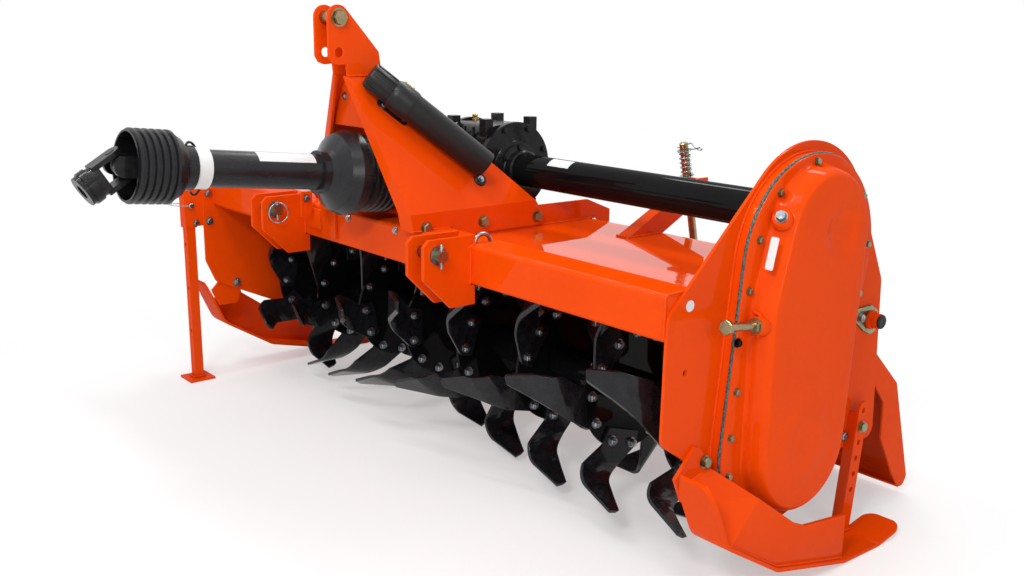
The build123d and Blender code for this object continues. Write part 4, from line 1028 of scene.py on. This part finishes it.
# ---- blank labels and badge
LABEL_LIFT, LABEL_THICK, LABEL_STEPS = 0.3, 0.3, 14


def wrap_label(name, start, run, zero, radius, span, turns):
    """Thin blank label round a tube: from a place on its axis, along it and between two turns."""
    run, zero = Vector(run).normalized(), Vector(zero)
    zero = (zero - run * zero.dot(run)).normalized()
    third = run.cross(zero)
    mesh = bmesh.new()
    row = []
    for k in range(LABEL_STEPS + 1):
        turn = radians(turns[0] + (turns[1] - turns[0]) * k / LABEL_STEPS)
        out = (zero * cos(turn) + third * sin(turn)) * (radius + LABEL_LIFT)
        row.append(mesh.verts.new(at(*(Vector(start) + run * span[0] + out))))
    strip = [mesh.edges.new(pair) for pair in zip(row, row[1:])]
    push_new(mesh, bmesh.ops.extrude_edge_only(mesh, edges=strip), run * (span[1] - span[0]))
    bmesh.ops.solidify(mesh, geom=list(mesh.faces), thickness=LABEL_THICK * MM)
    return piece(name, mesh, BARE_LABEL, 50)


wrap_label("cross_tube_label", (0, CROSS.y, CROSS.z), X_OUT, REAR, 46, (250, 335), (98, 140))
guard_rear = Vector((HITCH_X, high("guard_tube").y, low("guard_tube").z + 46.8))
guard_front = Vector((HITCH_X, low("guard_tube").y, high("guard_tube").z - 46.8))
guard_run = guard_front - guard_rear
wrap_label("guard_tube_label", guard_rear, guard_run, X_OUT, 47, (52, 214), (34, 82))
BADGE = [(0, 0), (12, 0), (12.4, 0.4), (12, 0.9), (10.8, 1), (10.4, 0.7), (0, 0.7)]
turned("round_badge_blank", (RIGHT_OUT + 0.05, 65, 697), X_OUT, BADGE, BARE_BADGE, 40)

# ---- manual canister: body, ribbed cap, fastenings and wing nut
# the mast plate's outer face leans out by the spread over its drop, from the head's foot down
MAST_DROP, MAST_SPREAD, HEAD_FOOT_Z = 347, 200, 1120
mast_face = Vector((MAST_DROP, 0, MAST_SPREAD)).normalized()
can_run = Vector((-150, -271, 245)).normalized()
can_side = can_run.cross(mast_face).normalized()
can_out = can_side.cross(can_run).normalized()
can_low = low("manual_canister") + Vector((143.1, 228.4, 25.1)) + mast_face * 5
CAN_BODY = [
    (0, 0), (34, 0), (38, 2), (39.6, 6), (39.6, 252), (41.4, 258),
    (42.6, 263), (42.6, 296), (41, 312), (36, 322), (32, 325), (0, 325),
]
replaced_body = turned("canister_body_moulded", can_low, can_run, CAN_BODY, CANISTER, 72, 28)
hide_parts("manual_canister", "canister_clips")
CAN_CAP = [(0, 318), (33.5, 318), (34.5, 320), (34.5, 390), (32, 394), (26, 395.5), (0, 395.5)]
cap = bmesh.new()
add_turned(cap, can_low, can_run, CAN_CAP, 56)
for k in range(12):
    turn = 2 * pi * k / 12
    reach = can_out * cos(turn) + can_side * sin(turn)
    basis = Matrix((can_run.cross(reach), reach, can_run)).transposed()
    add_block(cap, can_low + can_run * 357 + reach * 34.6, basis, (5, 3.6, 66))
soften(cap, 0.9, 50)
replaced_cap = piece("canister_cap_ribbed", cap, CANISTER)
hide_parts("canister_cap")


def on_mast(y, z, lift):
    """A place off the right mast plate's outer face."""
    return Vector((HEAD_RIGHT + (HEAD_FOOT_Z - z) * MAST_SPREAD / MAST_DROP, y, z)) + mast_face * lift


TAB = [(0, 0), (19, 0), (19, 4), (17.5, 5.5), (0, 5.5)]
turned("canister_foot_tab", on_mast(226, 841, 0.3), mast_face, TAB, CANISTER, 40)
can_seats = [(on_mast(y, z, 5.8), mast_face) for y, z in ((226, 841), (-14, 1041), (38, 1005))]
bolts("canister_bolts", BRIGHT, can_seats, 6.5, 5, 9.5, 1.6)
neck_outline, neck_along = box_outline(100, 26, 9), (-0.28, -0.72, 0.64)
neck_place = on_mast(12, 1026, 0.3)
plate("canister_neck_bracket", neck_outline, neck_place, mast_face, neck_along, 5.2, CANISTER)
wing_up = can_side if can_side.z > 0 else -can_side
wing_seat = can_low + can_run * 290 + wing_up * 42
wing_flat = can_run.cross(wing_up).normalized()
WING_HUB = [(0, 0), (3, 0), (3, 5), (6, 5.5), (5, 12), (2.6, 13), (2.6, 17), (0, 17)]
wing = bmesh.new()
add_turned(wing, wing_seat, wing_up, WING_HUB, 24)
for sign in (1, -1):
    lean = (wing_up * 0.8 + can_run * sign * 0.6).normalized()
    spot = wing_seat + wing_up * 9 + can_run * sign * 5 + lean * 6
    basis = Matrix((wing_flat, lean.cross(wing_flat), lean)).transposed()
    add_block(wing, spot, basis, (3, 8, 13))
soften(wing, 0.8)
piece("canister_wing_nut", wing, BRASSY)

# ---- hooks on the driveline's guard
HOOK = ((6, -6), (0, 6), (-10, 13), (-19, 9), (-20, 2))
GUARD_HOOKS = (("top", -505, high("guard_ring").z, 1), ("low", -500, low("guard_ring").z, -1))
for name, hook_y, hook_z, way in GUARD_HOOKS:
    hook = [(HITCH_X, hook_y + back, hook_z + way * out) for back, out in HOOK]
    wire("guard_hook_" + name, hook, 3, GUARD)

# ---- small bolts on mast and tube, tube ends
SMALL_BOLTS = ((83, -0.2, 712), (-159, -0.2, 712), (-69, -56.2, 1064), (-7, -56.2, 1064))
bolts("mast_small_bolts", BRIGHT, [(spot, FRONT) for spot in SMALL_BOLTS], 8, 6, 10.5, 1.8)
tube_side = TUBE_TOP - TUBE_UNDER
for side, sign in SIDES:
    outline = box_outline(tube_side - 3, tube_side - 3, 7)
    place = (sign * (RIGHT_IN - 6.2), tube_side / 2, TUBE_TOP - tube_side / 2)
    plate("tube_end_" + side, outline, place, (sign, 0, 0), REAR * sign, 6, PAINTED, edge=0.6)

# ---- weld beads
for side, _ in SIDES:
    beam = "beam_" + side
    for face, x in (("outer", high(beam).x + 0.6), ("inner", low(beam).x - 0.6)):
        seam = [(x, TUBE_BACK + 6, DECK_TOP + 1.6), (x, 640, DECK_TOP + 1.6)]
        bead("beam_weld_%s_%s" % (side, face), seam, 3.4)
for side, _ in SIDES:
    x, z = high("rod_brace_" + side).x + 0.6, DECK_TOP + 1.8
    bead("brace_weld_" + side, [(x, 489, z), (x, 620, z)], 3.6)
    bead("brace_flange_weld_" + side, [(x - 7, 485, z), (x - 42, 485, z)], 3.6)
FACETS = ((108, 186), (190, 136.5), (280, 82), (410, 49), (540, 17.5))
STRAP_FOOT = ((660, 13.5), (698, 12.5))
TUBE_END = ((-1.2, 634), (-1.2, TUBE_TOP - 6), (8, TUBE_TOP + 0.8), (TUBE_BACK - 4, TUBE_TOP + 0.8))
for side, sign, shift, head in (("right", 1, 0, HEAD_RIGHT), ("left", -1, SKID_SHIFT, HEAD_LEFT)):
    runner, strap, end = (sign * x for x in (RIGHT_OUT + 110.2, STRAP_FACE + 0.6, RIGHT_IN - 1.2))
    bead("skid_facet_weld_" + side, [(runner, y + shift, z) for y, z in FACETS], 3.6)
    bead("strap_foot_weld_" + side, [(strap, y + shift, z) for y, z in STRAP_FOOT], 3.4)
    bead("tube_end_weld_" + side, [(end, y, z) for y, z in TUBE_END], 3.4)
    x, z = head + sign * 0.6, HEAD_FOOT_Z + 0.6
    bead("mast_head_weld_" + side, [(x, -88, z), (x, 12, z)], 3.4)
    x, z = HITCH_X + sign * 238.6, TUBE_TOP + 1
    bead("mast_foot_weld_" + side, [(x, -26, z), (x, 96, z)], 3.2)
x, y = LEFT_OUT - 9, low("stand_bracket").y + 42
bead("stand_bracket_weld", [(x, y, 562), (x, y, 690)], 3)
bead("cross_plate_weld_right", [(60, -57, 992), (10, -57, 1096)], 2.8)

size = {"cad": [list(corner) for corner in cad_box], "visual": [list(corner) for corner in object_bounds()]}
